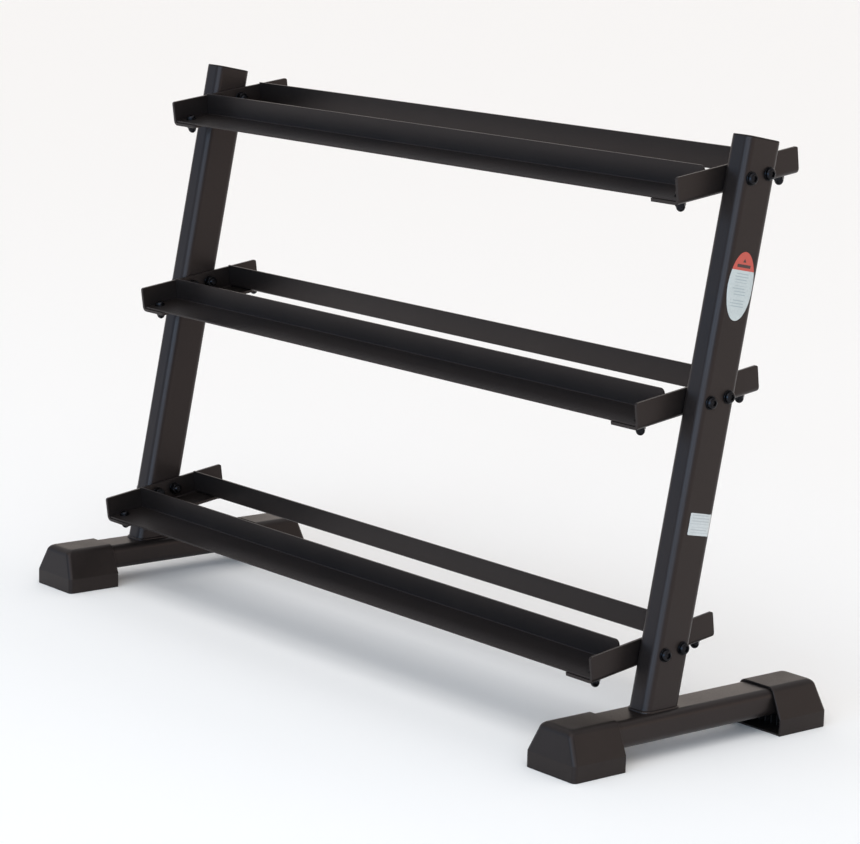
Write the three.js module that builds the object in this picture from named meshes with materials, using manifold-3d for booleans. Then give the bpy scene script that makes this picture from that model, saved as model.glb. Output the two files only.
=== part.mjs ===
// Three-tier rack for hexagonal dumbbells: two leaning uprights on flat feet, joined by six angle rails.
// Millimetres. +X runs along the rack, +Y to its back, +Z up. The origin is on the floor, midway
// between the uprights and midway along the base tubes.
import * as THREE from 'three';
import { mergeVertices } from 'three/addons/utils/BufferGeometryUtils.js';
import Module from 'manifold-3d';

// ---------- driving dimensions ----------
const baseDepth = 500;          // front to back over the foot caps
const uprightSpacing = 1267;    // between the centre lines of the two uprights
const axisTop = 870;            // height of the upright's centre line at its cut top end
const lean = THREE.MathUtils.degToRad(10.8);      // uprights lean to the back
const tilt = THREE.MathUtils.degToRad(8.1);       // shelves rise to the back
const lowestTier = 150.5;       // floor to the lowest tier's bolt pair, on the upright's centre line
const middleTierRise = 356;     // from there up to the middle tier's bolt pair
const topTierDrop = 50.5;       // from the upright's top down to the top tier's bolt pair

// one rounded tube section serves the uprights and, laid flat, the base
const tube = { width: 41, depth: 67, radius: 12, wall: 2.5 };
const baseClearance = 25.5;     // floor to the underside of the base tube
const uprightSetForward = 55.5; // centre line forward of mid base, where it meets the base tube

// foot caps
const cap = { flare: 18, length: 97, skirt: 24.5, wall: 3, shoulder: 2.2, endSlope: 0.16, corner: 6,
  floor: 3, tubeEndPlay: 3 };
const capRib = { wall: 2.5, length: 60, spread: 48, count: 5 };

// shelf brackets: angles with an upright web and a flange under the rails
const bracket = { length: 240, web: 40, flange: 59, wall: 5, corner: 4, boltRise: 23.5 };
// rails: angles whose leg lies on the bracket flange and whose lip holds the heads apart
const rail = { wall: 3, lip: 37.5, frontLeg: 69, rearLeg: 58, lipCorner: 7, lipStop: 12, setBack: 2 };

// fasteners
const mainBolt = { shank: 10, pitch: 35, head: 17.5, headRise: 5.2, washer: 20, washerWall: 2, nutAcross: 17,
  nutRise: 8, tail: 3 };
const railBolt = { shank: 8, head: 14, headRise: 4.4, washer: 17, washerWall: 1.6, nutAcross: 14, nutRise: 7,
  domeRise: 6, inFromWeb: 20, fromEnd: 22 };
const holeClearance = 0.5;      // on the radius, between a shank and its hole
const socketDepth = 2.5;        // hexagon socket in a button head
// shares of a button head's own size: shoulder height, belly and flat crown, and its socket across flats
const headShape = { shoulder: 0.25, belly: 0.92, crown: 0.52, socket: 0.45 };
const capNutDome = 0.49;        // radius of a cap nut's dome, as a share of its width across flats
const plug = { rise: 2.5, skirt: 14, wall: 2, fit: 0.4 };
// the oval label is midway between the two upper tiers and the tag midway between the two lower ones
const label = { thickness: 0.4, longAxis: 98, shortAxis: 49, aboveMidway: 2.7 };
const tag = { width: 42, height: 32, corner: 2, thickness: 0.4, aboveMidway: 2.3, towardsRear: 5.5 };

const gap = 0.3;                // left between pieces that touch
const overlap = 0.01;           // by which the parts of one turned piece run into each other

// ---------- derived sizes ----------
const baseTop = baseClearance + tube.width;
const capHeight = baseTop + gap + cap.wall;
const capWidth = tube.depth + 2 * cap.flare;
const capCrown = tube.radius;                                 // rounding between sloping sides and top
const capSideSlope = slopeOntoCrown();
const tierHeights = [lowestTier, lowestTier + middleTierRise, axisTop - topTierDrop];
const axisLength = (axisTop - baseTop) / Math.cos(lean);
const tubeXIn = uprightSpacing / 2 - tube.width / 2;          // inner face of an upright
const railHalf = tubeXIn - gap - bracket.wall - gap;          // rails end just inside the webs
const webTop = bracket.web - bracket.boltRise;                // above the bolt line
const legBottom = -bracket.boltRise + bracket.wall + gap;     // rails lie on the bracket flange
const gripMain = tube.width + gap + bracket.wall;             // outer tube face to inner web face
const gripRail = bracket.wall + gap + rail.wall;              // rail leg's top to the flange's underside

// ---------- materials ----------
const finish = (color, roughness, metalness) =>
  new THREE.MeshStandardMaterial({ color, roughness, metalness });
const powderCoat = () => finish(0x2b2a29, 0.5, 0.2);
const mouldedPlastic = () => finish(0x33302d, 0.55, 0.0);
const blackOxide = () => finish(0x151516, 0.3, 0.6);
const labelFilm = () => finish(0xd2dada, 0.5, 0.0);

// ---------- solid helpers ----------
const wasm = await Module();
wasm.setup();

/** A closed geometry as a solid that can be cut and joined. */
function toSolid(geometry) {
  const bare = geometry.index ? geometry.toNonIndexed() : geometry.clone();
  bare.deleteAttribute('normal');
  bare.deleteAttribute('uv');
  const merged = mergeVertices(bare, 1e-4);
  return new wasm.Manifold(new wasm.Mesh({
    numProp: 3,
    vertProperties: new Float32Array(merged.attributes.position.array),
    triVerts: new Uint32Array(merged.index.array),
  }));
}

/** A solid back as a geometry. */
function toGeometry(solid) {
  const { vertProperties, triVerts, numProp } = solid.getMesh();
  const position = new Float32Array(vertProperties.length / numProp * 3);
  for (let i = 0; i < position.length / 3; i += 1) {
    for (let k = 0; k < 3; k += 1) position[3 * i + k] = vertProperties[numProp * i + k];
  }
  const geometry = new THREE.BufferGeometry();
  geometry.setAttribute('position', new THREE.BufferAttribute(position, 3));
  geometry.setIndex([...triVerts]);
  geometry.computeVertexNormals();
  return geometry;
}

/** The first geometry with every later one cut out of it. */
function cut(body, ...tools) {
  return toGeometry(tools.reduce((left, tool) => left.subtract(toSolid(tool)), toSolid(body)));
}

/** All the geometries joined into one. */
function join(body, ...others) {
  return toGeometry(others.reduce((sum, other) => sum.add(toSolid(other)), toSolid(body)));
}

/** A rectangle with its corners rounded, centred on the origin. */
function roundedRect(width, height, radius) {
  const [x, y] = [width / 2, height / 2];
  const shape = new THREE.Shape();
  shape.moveTo(x, y - radius);
  shape.absarc(x - radius, y - radius, radius, 0, Math.PI / 2, false);
  shape.absarc(-x + radius, y - radius, radius, Math.PI / 2, Math.PI, false);
  shape.absarc(-x + radius, -y + radius, radius, Math.PI, 1.5 * Math.PI, false);
  shape.absarc(x - radius, -y + radius, radius, 1.5 * Math.PI, 2 * Math.PI, false);
  shape.closePath();
  return shape;
}

/** A shape pushed straight up from z = 0. */
function prism(shape, height, curveSegments = 4) {
  return new THREE.ExtrudeGeometry(shape, { depth: height, bevelEnabled: false, curveSegments });
}

/** A round rod along +Z that starts at z = from. */
function rod(radius, length, from = 0, sides = 12) {
  return new THREE.CylinderGeometry(radius, radius, length, sides)
    .rotateX(Math.PI / 2).translate(0, 0, from + length / 2);
}

/** A drill along +Z whose flats, not corners, lie at the hole's radius, so that a shank clears them. */
function drill(shank, length, from, sides = 8) {
  return rod((shank / 2 + holeClearance) / Math.cos(Math.PI / sides), length, from, sides);
}

/** A hexagonal rod along +Z that starts at z = from. */
function hexRod(acrossFlats, length, from = 0) {
  return rod(acrossFlats / Math.sqrt(3), length, from, 6);
}

/** A closed outline through corner points [x, y, radius]; a corner with no radius stays sharp. */
function plateOutline(points) {
  const shape = new THREE.Shape();
  points.forEach(([x, y, radius = 0], i) => {
    const [px, py] = points[(i + points.length - 1) % points.length];
    const [nx, ny] = points[(i + 1) % points.length];
    const corner = new THREE.Vector2(x, y);
    const start = new THREE.Vector2(px, py).sub(corner).normalize().multiplyScalar(radius).add(corner);
    const end = new THREE.Vector2(nx, ny).sub(corner).normalize().multiplyScalar(radius).add(corner);
    if (i === 0) shape.moveTo(start.x, start.y);
    else shape.lineTo(start.x, start.y);
    if (radius) shape.quadraticCurveTo(corner.x, corner.y, end.x, end.y);
  });
  shape.closePath();
  return shape;
}

// ---------- pieces ----------
/** Open-ended rounded tube along +Z: width along X, depth along Y. */
function tubeGeometry(length) {
  const outer = prism(roundedRect(tube.width, tube.depth, tube.radius), length);
  const inner = prism(
    roundedRect(tube.width - 2 * tube.wall, tube.depth - 2 * tube.wall, tube.radius - tube.wall), length + 2);
  return cut(outer, inner.translate(0, 0, -1));
}

/** A height as a place on the uprights' centre line, measured along it from the base tube's top. */
const alongAxis = (height) => (height - baseTop) / Math.cos(lean);

/** Upright: foot cut level to stand on the base tube, top cut square, drilled through for the brackets. */
function uprightGeometry() {
  const below = tube.depth;                                   // spare length that the level cut removes
  const body = tubeGeometry(axisLength + below).translate(0, 0, -below);
  const floorCut = new THREE.BoxGeometry(4 * tube.width, 4 * tube.depth, 4 * tube.depth)
    .translate(0, 0, -2 * tube.depth + gap).rotateX(lean);
  const drills = tierHeights.flatMap((height) => boltOffsets(mainBolt.pitch).map(([y, z]) =>
    drill(mainBolt.shank, 2 * tube.width, -tube.width)
      .rotateY(Math.PI / 2).translate(0, y, alongAxis(height) + z)));
  return cut(body, floorCut, ...drills);
}

/** The two bolts of a bracket, in the leaning upright's own depth and length directions. */
function boltOffsets(pitch) {
  const turn = lean + tilt;
  return [-1, 1].map((side) => [side * pitch / 2 * Math.cos(turn), side * pitch / 2 * Math.sin(turn)]);
}

/** Moulded plug in the upright's open top: a rounded lid on a spigot. */
function plugGeometry() {
  const lid = prism(roundedRect(tube.width, tube.depth, tube.radius), plug.rise, 3);
  const inset = tube.wall + plug.fit;
  const spigot = prism(
    roundedRect(tube.width - 2 * inset, tube.depth - 2 * inset, tube.radius - tube.wall), plug.skirt + 1, 2);
  const hollow = prism(
    roundedRect(tube.width - 2 * inset - 2 * plug.wall, tube.depth - 2 * inset - 2 * plug.wall,
      tube.radius - tube.wall - plug.wall / 2), plug.skirt, 2);
  return cut(join(lid, spigot.translate(0, 0, -plug.skirt)), hollow.translate(0, 0, -plug.skirt - 0.5));
}

/** Base tube, laid flat along Y. Its top edge ends just short of the caps' rounded end walls. */
function baseTubeGeometry() {
  const endWall = cap.wall + wallInset(baseTop, cap.endSlope, capHeight - cap.wall, capCrown - cap.wall);
  const length = baseDepth - 2 * (endWall + cap.tubeEndPlay);
  return tubeGeometry(length).translate(0, 0, -length / 2).rotateX(Math.PI / 2).rotateY(Math.PI / 2);
}

/** Slope (run over rise) of the line from the skirt's top edge that just touches the crown's arc, whose
 * centre is cap.shoulder further out than the centre of the tube's own corner. */
function slopeOntoCrown() {
  const across = cap.flare + tube.radius - cap.shoulder;
  const up = capHeight - capCrown - cap.skirt;
  const reach = Math.sqrt(across ** 2 + up ** 2 - capCrown ** 2);
  return (across * up - capCrown * reach) / (up ** 2 - capCrown ** 2);
}

/** How far a wall of the cap has come in at height z: nothing on the skirt, then a straight slope (run over
 * rise) that ends in a rounded edge of the given radius under the flat top. */
function wallInset(z, slope, top, radius) {
  const steep = Math.hypot(1, slope);
  const centre = top - radius;
  if (z <= centre + radius * slope / steep) return Math.max(0, z - cap.skirt) * slope;
  return (centre - cap.skirt) * slope + radius * steep - Math.sqrt(radius ** 2 - (z - centre) ** 2);
}

/** The cap's block, shrunk all round by inset: upright skirt, then sides and end that slope in to the top. */
function capBlock(inset, top, bottom, start) {
  const radius = capCrown - inset;
  const crownSteps = [0.38, 0.7, 0.92, 1].map((share) => top - radius + radius * share);
  const corner = cap.corner - inset;
  const cornerSteps = 3;
  const rings = [bottom, cap.skirt, ...crownSteps].map((z) => {
    const x = capWidth / 2 - inset - wallInset(z, capSideSlope, top, radius);
    const y = cap.length - inset - wallInset(z, cap.endSlope, top, radius);
    const ring = [[-x, start, z]];
    for (const [cx, from] of [[-x + corner, Math.PI], [x - corner, Math.PI / 2]]) {
      for (let k = 0; k <= cornerSteps; k += 1) {
        const a = from - k / cornerSteps * Math.PI / 2;
        ring.push([cx + corner * Math.cos(a), y - corner + corner * Math.sin(a), z]);
      }
    }
    ring.push([x, start, z]);
    return ring;
  });
  return loft(rings);
}

/** A closed solid through rings of equal point counts, stacked upwards, each clockwise from above. */
function loft(rings) {
  const n = rings[0].length;
  const flat = rings.flat(2);
  const index = [];
  for (let r = 0; r < rings.length - 1; r += 1) {
    for (let i = 0; i < n; i += 1) {
      const [a, b] = [r * n + i, r * n + (i + 1) % n];
      index.push(a, a + n, b, b, a + n, b + n);
    }
  }
  const top = (rings.length - 1) * n;
  for (let i = 1; i < n - 1; i += 1) {
    index.push(0, i, i + 1);
    index.push(top, top + i + 1, top + i);
  }
  const geometry = new THREE.BufferGeometry();
  geometry.setAttribute('position', new THREE.Float32BufferAttribute(flat, 3));
  geometry.setIndex(index);
  return geometry.toNonIndexed();
}

/** Foot cap: a sloping moulded shell, open towards the tube, with ribs that carry and centre the tube. */
function capGeometry() {
  const shell = cut(
    capBlock(0, capHeight, 0, 0),
    capBlock(cap.wall, capHeight - cap.wall, cap.floor, -1));
  const ribFrom = cap.length - cap.wall - capRib.length;
  const rib = (width, height, x, z) =>
    new THREE.BoxGeometry(width, capRib.length + 1, height)
      .translate(x, ribFrom + (capRib.length + 1) / 2, z + height / 2);
  const bearers = [...Array(capRib.count).keys()].map((k) =>
    rib(capRib.wall, baseClearance - gap - cap.floor + 1, (k / (capRib.count - 1) - 0.5) * capRib.spread,
      cap.floor - 1));
  const side = tube.depth / 2 + gap;
  const reach = capWidth / 2 - cap.wall + 1 - side;
  const ledges = [-1, 1].map((s) => rib(reach, capRib.wall, s * (side + reach / 2), cap.skirt - capRib.wall));
  return join(shell, ...bearers, ...ledges);
}

/** Shelf bracket in shelf axes: web outer face at x = 0, flange towards -X, bolt line at z = 0. */
function bracketGeometry() {
  const [half, low, high] = [bracket.length / 2, -bracket.boltRise, webTop];
  const side = prism(plateOutline([
    [-half, low, bracket.corner], [half, low, bracket.corner], [half, high, bracket.corner],
    [-half, high, bracket.corner]]), bracket.flange, 3).rotateX(Math.PI / 2).rotateZ(Math.PI / 2)
    .translate(-bracket.flange, 0, 0);
  const trough = new THREE.BoxGeometry(bracket.flange, 2 * bracket.length, bracket.web)
    .translate(-bracket.flange / 2 - bracket.wall, 0, low + bracket.wall + bracket.web / 2);
  const webHoles = [-1, 1].map((s) => drill(mainBolt.shank, 4 * bracket.wall, -2 * bracket.wall)
    .rotateY(Math.PI / 2).translate(0, s * mainBolt.pitch / 2, 0));
  const flangeHoles = railBoltSpots().map(([x, y]) =>
    drill(railBolt.shank, 4 * bracket.wall, low - bracket.wall).translate(x, y, 0));
  return cut(side, trough, ...webHoles, ...flangeHoles);
}

/** Rail bolts of one bracket: distance in from the web's outer face, and place along the bracket. */
function railBoltSpots() {
  const along = bracket.length / 2 - railBolt.fromEnd;
  return [-1, 1].map((s) => [-railBolt.inFromWeb, s * along]);
}

/** Rail in shelf axes. side -1 is the front rail, 1 the rear one; its lip is the face next to mid shelf. */
function railGeometry(side) {
  const leg = side < 0 ? rail.frontLeg : rail.rearLeg;
  const outerEnd = side * (bracket.length / 2 - rail.setBack);
  const lipStop = side < 0 ? rail.lipStop : 0;
  const section = new THREE.Shape();
  const lip = outerEnd - side * leg;
  const inLip = lip + side * rail.wall;
  [[outerEnd, 0], [outerEnd, rail.wall], [inLip, rail.wall], [inLip, rail.lip], [lip, rail.lip], [lip, 0]]
    .forEach(([y, z], i) => (i ? section.lineTo(y, z) : section.moveTo(y, z)));
  section.closePath();
  const body = prism(section, 2 * railHalf).rotateX(Math.PI / 2).rotateZ(Math.PI / 2)
    .translate(-railHalf, 0, legBottom);
  const keepOutline = plateOutline([
    [-railHalf - 1, -1], [railHalf + 1, -1], [railHalf + 1, rail.wall], [railHalf - lipStop, rail.wall],
    [railHalf - lipStop, rail.lip, rail.lipCorner], [-railHalf - 1, rail.lip]]);
  const keep = prism(keepOutline, 4 * leg, 3).rotateX(Math.PI / 2)
    .translate(0, 2 * leg + outerEnd, legBottom);
  const trimmed = toSolid(body).intersect(toSolid(keep));
  const along = side * (bracket.length / 2 - railBolt.fromEnd);
  const holes = [-1, 1].map((s) => toSolid(
    drill(railBolt.shank, 4 * rail.wall, legBottom - rail.wall)
      .translate(s * (tubeXIn - gap - railBolt.inFromWeb), along, 0)));
  return toGeometry(holes.reduce((left, hole) => left.subtract(hole), trimmed));
}

/** A domed button head that sits on z = 0 and rises along +Z, with its washer and a hexagon socket. */
function buttonHead({ head, headRise, washer, washerWall }, sides = 12) {
  const top = washerWall + headRise;
  const dome = new THREE.QuadraticBezierCurve(
    new THREE.Vector2(head / 2, washerWall + headShape.shoulder * headRise),
    new THREE.Vector2(head / 2 * headShape.belly, top),
    new THREE.Vector2(head / 2 * headShape.crown, top)).getPoints(2);
  const profile = [new THREE.Vector2(0, 0), new THREE.Vector2(washer / 2, 0),
    new THREE.Vector2(washer / 2, washerWall), new THREE.Vector2(head / 2, washerWall), ...dome,
    new THREE.Vector2(0, top)];
  const body = new THREE.LatheGeometry(profile, sides).rotateX(Math.PI / 2);
  return cut(body, hexRod(headShape.socket * head, socketDepth + 1, top - socketDepth));
}

/** Bolt through the upright and the bracket web: head at z = 0 upwards, shank down to the nut's far side. */
function mainBoltGeometry() {
  const reach = gripMain + 2 * gap + mainBolt.washerWall + mainBolt.nutRise + mainBolt.tail;
  return join(buttonHead(mainBolt), rod(mainBolt.shank / 2, reach + 0.5, -reach, 8));
}

/** Washer-faced nut on the inner side of the web; its seat is z = 0 and it rises along +Z. */
function mainNutGeometry() {
  const body = join(rod(mainBolt.washer / 2, mainBolt.washerWall + overlap),
    hexRod(mainBolt.nutAcross, mainBolt.nutRise, mainBolt.washerWall));
  return cut(body, drill(mainBolt.shank, 4 * mainBolt.nutRise, -mainBolt.nutRise));
}

/** Rail bolt and its domed cap nut as one: head above the leg at z = 0, cap nut below the flange. */
function railBoltGeometry() {
  const under = -gripRail - 2 * gap;
  const seat = under - railBolt.washerWall;
  const nutBottom = seat - railBolt.nutRise;
  const domeRadius = capNutDome * railBolt.nutAcross;
  const domeSteps = 2;
  const arc = [];
  for (let k = 0; k <= domeSteps; k += 1) {
    const a = k / domeSteps * Math.PI / 2;
    arc.push(new THREE.Vector2(domeRadius * Math.cos(a), domeRadius + railBolt.domeRise * Math.sin(a)));
  }
  const dome = new THREE.LatheGeometry([new THREE.Vector2(0, 0), new THREE.Vector2(domeRadius, 0),
    ...arc.slice(0, -1), new THREE.Vector2(0, arc[domeSteps].y)], 12)
    .rotateX(-Math.PI / 2).translate(0, 0, nutBottom + domeRadius);
  return join(
    buttonHead(railBolt),
    rod(railBolt.shank / 2, -nutBottom, nutBottom + 0.5, 8),
    rod(railBolt.washer / 2, railBolt.washerWall + overlap, seat - overlap),
    hexRod(railBolt.nutAcross, railBolt.nutRise, nutBottom),
    dome);
}

/** Thin film sticker standing off the face at x = 0 towards +X; shape in depth (Y) and length (Z). */
function stickerGeometry(shape, thickness, curveSegments) {
  return prism(shape, thickness, curveSegments).rotateX(Math.PI / 2).rotateZ(Math.PI / 2);
}

// ---------- assembly ----------
const group = new THREE.Group();

function addPiece(parent, name, geometry, material) {
  const mesh = new THREE.Mesh(geometry, material);
  mesh.name = name;
  parent.add(mesh);
  return mesh;
}

const sides = [['left', -1], ['right', 1]];
const geometries = {
  base: baseTubeGeometry(), upright: uprightGeometry(), plug: plugGeometry(), cap: capGeometry(),
  bracket: bracketGeometry(), mainBolt: mainBoltGeometry(), mainNut: mainNutGeometry(),
  railBolt: railBoltGeometry(),
};

for (const [sideName, side] of sides) {
  const frame = new THREE.Group();
  frame.position.x = side * uprightSpacing / 2;
  group.add(frame);

  const foundation = addPiece(frame, `${sideName}_base_tube`, geometries.base, powderCoat());
  foundation.position.z = baseClearance + tube.width / 2;
  for (const [endName, end] of [['front', -1], ['rear', 1]]) {
    const foot = addPiece(frame, `${sideName}_${endName}_foot_cap`, geometries.cap, mouldedPlastic());
    foot.rotation.z = end < 0 ? Math.PI : 0;
    foot.position.y = end * (baseDepth / 2 - cap.length);
  }

  // everything on the leaning upright: local Z runs up its centre line from the base tube's top
  const leaning = new THREE.Group();
  leaning.position.set(0, -uprightSetForward, baseTop);
  leaning.rotation.x = -lean;
  frame.add(leaning);
  addPiece(leaning, `${sideName}_upright`, geometries.upright, powderCoat());
  const lid = addPiece(leaning, `${sideName}_upright_plug`, geometries.plug, mouldedPlastic());
  lid.position.z = axisLength + gap;

  tierHeights.forEach((height, tier) => {
    const shelf = new THREE.Group();
    shelf.position.z = alongAxis(height);
    shelf.rotation.x = lean + tilt;
    leaning.add(shelf);
    const where = `${sideName}_tier${tier + 1}`;
    const arm = addPiece(shelf, `${where}_bracket`, geometries.bracket, powderCoat());
    arm.position.x = -side * (tube.width / 2 + gap);
    arm.rotation.z = side < 0 ? Math.PI : 0;
    for (const [endName, end] of [['front', -1], ['rear', 1]]) {
      const bolt = addPiece(shelf, `${where}_${endName}_upright_bolt`, geometries.mainBolt, blackOxide());
      bolt.position.set(side * (tube.width / 2 + gap), end * mainBolt.pitch / 2, 0);
      bolt.rotation.y = side * Math.PI / 2;
      const stud = addPiece(shelf, `${where}_${endName}_rail_bolt`, geometries.railBolt, blackOxide());
      stud.position.set(
        -side * (tube.width / 2 + gap + railBolt.inFromWeb),
        end * (bracket.length / 2 - railBolt.fromEnd),
        legBottom + rail.wall + gap);
      const nut = addPiece(shelf, `${where}_${endName}_upright_nut`, geometries.mainNut, blackOxide());
      nut.position.set(-side * (tube.width / 2 + gap + bracket.wall + gap), end * mainBolt.pitch / 2, 0);
      nut.rotation.y = -side * Math.PI / 2;
    }
  });
}

// rails span both sides
const spine = new THREE.Group();
spine.position.set(0, -uprightSetForward, baseTop);
spine.rotation.x = -lean;
group.add(spine);
const railGeometries = { front: railGeometry(-1), rear: railGeometry(1) };
tierHeights.forEach((height, tier) => {
  const shelf = new THREE.Group();
  shelf.position.z = alongAxis(height);
  shelf.rotation.x = lean + tilt;
  spine.add(shelf);
  for (const [name, geometry] of Object.entries(railGeometries)) {
    addPiece(shelf, `tier${tier + 1}_${name}_rail`, geometry, powderCoat());
  }
});

// two film labels on the right upright's outer face
const face = new THREE.Group();
face.position.x = uprightSpacing / 2 + tube.width / 2 + gap;
spine.add(face);
const midway = (lower) => (alongAxis(tierHeights[lower]) + alongAxis(tierHeights[lower + 1])) / 2;
const oval = new THREE.Shape()
  .absellipse(0, 0, label.shortAxis / 2, label.longAxis / 2, 0, 2 * Math.PI, false);
const ovalLabel = addPiece(face, 'oval_label', stickerGeometry(oval, label.thickness, 12), labelFilm());
ovalLabel.position.z = midway(1) + label.aboveMidway;
const square = roundedRect(tag.width, tag.height, tag.corner);
const squareTag = addPiece(face, 'square_tag', stickerGeometry(square, tag.thickness, 2), labelFilm());
squareTag.position.set(0, tag.towardsRear, midway(0) + tag.aboveMidway);

export default group;
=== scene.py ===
"""Three-tier rack for hexagonal dumbbells: fine surfaces, finishes, light and camera around its fixed frame.

Shapes are worked out in millimetres in a piece's own directions, and placed in metres in the frame's
directions: +X along the rack, +Y to its back, +Z up. Places come from the boxes of the frame's nodes.
"""

import logging
import math
from collections.abc import Sequence
from dataclasses import dataclass, field
from enum import Enum

import bmesh
import bpy
import numpy as np
from mathutils import Matrix, Vector
from numpy.typing import NDArray


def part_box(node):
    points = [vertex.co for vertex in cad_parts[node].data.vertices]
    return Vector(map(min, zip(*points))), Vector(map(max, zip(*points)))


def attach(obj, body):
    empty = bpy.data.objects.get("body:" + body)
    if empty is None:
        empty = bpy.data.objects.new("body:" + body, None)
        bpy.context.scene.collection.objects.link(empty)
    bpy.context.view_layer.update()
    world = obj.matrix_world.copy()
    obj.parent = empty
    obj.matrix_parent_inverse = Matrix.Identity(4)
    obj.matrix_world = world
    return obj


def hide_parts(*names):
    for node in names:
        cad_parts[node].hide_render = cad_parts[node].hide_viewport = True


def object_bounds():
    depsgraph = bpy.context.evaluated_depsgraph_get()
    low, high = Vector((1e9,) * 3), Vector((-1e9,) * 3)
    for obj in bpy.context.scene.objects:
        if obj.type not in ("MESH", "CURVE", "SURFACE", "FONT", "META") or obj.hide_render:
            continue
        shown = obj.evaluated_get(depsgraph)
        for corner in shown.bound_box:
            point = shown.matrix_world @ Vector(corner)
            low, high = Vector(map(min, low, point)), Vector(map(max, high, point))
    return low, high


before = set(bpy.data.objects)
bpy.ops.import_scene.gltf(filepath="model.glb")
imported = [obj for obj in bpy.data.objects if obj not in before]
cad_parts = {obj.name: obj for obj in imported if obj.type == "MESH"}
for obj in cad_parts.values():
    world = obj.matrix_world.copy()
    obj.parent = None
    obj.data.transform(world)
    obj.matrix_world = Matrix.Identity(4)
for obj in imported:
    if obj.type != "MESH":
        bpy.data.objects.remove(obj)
CAD_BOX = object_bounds()

Floats = NDArray[np.float64]
MM = 0.001                  # metres in a millimetre
BODY = "root"               # nothing on a rack moves, so every piece rides on its one body
TIERS = (1, 2, 3)           # lowest first
SAME_PLACE = 0.001          # millimetres within which two points of a merged surface are one
SHARP_ANGLE = 34.0          # degrees between two faces from which their edge shows as a crease
log = logging.getLogger("rack")


class Slot(Enum):
    """The record's material slots."""

    POWDER = "powder_coat"
    PLASTIC = "moulded_plastic"
    STEEL = "black_fastener"
    FILM = "label_film"


class Side(Enum):
    """An upright and all that is on it; the value is its direction along X."""

    LEFT = -1
    RIGHT = 1

    @property
    def label(self) -> str:
        """The side's name as the frame's nodes spell it."""
        return self.name.lower()


class End(Enum):
    """The front or the rear of a foot or shelf; the value is its direction along Y."""

    FRONT = -1
    REAR = 1

    @property
    def label(self) -> str:
        """The end's name as the frame's nodes spell it."""
        return self.name.lower()


# ---------------------------------------------------------------- places

@dataclass(frozen=True)
class Axes:
    """A place in the row frame, in metres, with three unit directions of its own."""

    origin: Floats
    across: Floats
    back: Floats
    up: Floats

    def place(self, points: Floats) -> Floats:
        """Row-frame metres of local millimetres: origin + 0.001 (x across + y back + z up)."""
        return self.origin + MM * (points @ np.stack([self.across, self.back, self.up]))

    def moved(self, x: float = 0.0, y: float = 0.0, z: float = 0.0) -> "Axes":
        """The same directions from a point that many millimetres away."""
        return Axes(self.place(np.array([x, y, z])), self.across, self.back, self.up)

    def facing(self, side: float) -> "Axes":
        """Axes whose up runs along X, outwards for a side of the same sign, for what is bolted through."""
        return Axes(self.origin, self.back, self.up, side * self.across)

    def flipped(self, side: float) -> "Axes":
        """The same place with across turned to the given side, for a piece made as its mirror image."""
        return Axes(self.origin, side * self.across, self.back, self.up)


def unit(vector: Floats) -> Floats:
    """The vector at length 1."""
    return vector / np.linalg.norm(vector)


def box_of(node: str) -> tuple[Floats, Floats]:
    """Lowest and highest corner of a frame node, in metres."""
    low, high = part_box(node)
    return np.array(low), np.array(high)


def centre_of(*nodes: str) -> Floats:
    """Mean of the box centres of frame nodes, in metres."""
    return np.mean([box_of(node) for node in nodes], axis=(0, 1))


X_AXIS = np.array([1.0, 0.0, 0.0])
Y_AXIS = np.array([0.0, 1.0, 0.0])
Z_AXIS = np.array([0.0, 0.0, 1.0])


class Layout:
    """Directions and places that the pieces share, worked out from the frame's boxes."""

    def bolt_pair(self, side: Side, tier: int) -> Floats:
        """Point midway between the two upright bolts of a bracket."""
        ends = (f"{side.label}_tier{tier}_{end.label}_upright_bolt" for end in End)
        return centre_of(*ends)

    def base_top(self) -> float:
        """Height of the base tubes' flat top, in metres."""
        return float(box_of("left_base_tube")[1][2])

    def upright(self, side: Side) -> Axes:
        """Axes at an upright's foot, on its centre line, which passes through the bolt pairs.

        Args:
            side: Which upright.

        Returns:
            Axes whose up runs along the line.
        """
        low, high = (self.bolt_pair(side, tier) for tier in (TIERS[0], TIERS[-1]))
        up = unit(high - low)
        foot = low + up * (self.base_top() - low[2]) / up[2]
        foot[0] = centre_of(f"{side.label}_upright")[0]
        return Axes(foot, X_AXIS, np.cross(up, X_AXIS), up)

    def shelf(self, side: Side, tier: int) -> Axes:
        """Axes midway between a bracket's two upright bolts.

        Args:
            side: The bracket's side.
            tier: Its tier.

        Returns:
            Axes whose back runs along the tilted bracket, from the front bolt to the rear one.
        """
        front, rear = (centre_of(f"{side.label}_tier{tier}_{end.label}_upright_bolt") for end in End)
        back = unit(rear - front)
        origin = (front + rear) / 2
        origin[0] = centre_of(f"{side.label}_upright")[0]
        return Axes(origin, X_AXIS, back, np.cross(X_AXIS, back))

    def mid_shelf(self, tier: int) -> Axes:
        """Axes of a shelf on the rack's middle plane.

        Args:
            tier: The shelf's tier.

        Returns:
            The mean of its two brackets' places, with their directions.
        """
        left = self.shelf(Side.LEFT, tier)
        right = self.shelf(Side.RIGHT, tier)
        return Axes((left.origin + right.origin) / 2, left.across, left.back, left.up)


LAYOUT = Layout()


# ---------------------------------------------------------------- surfaces

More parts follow.
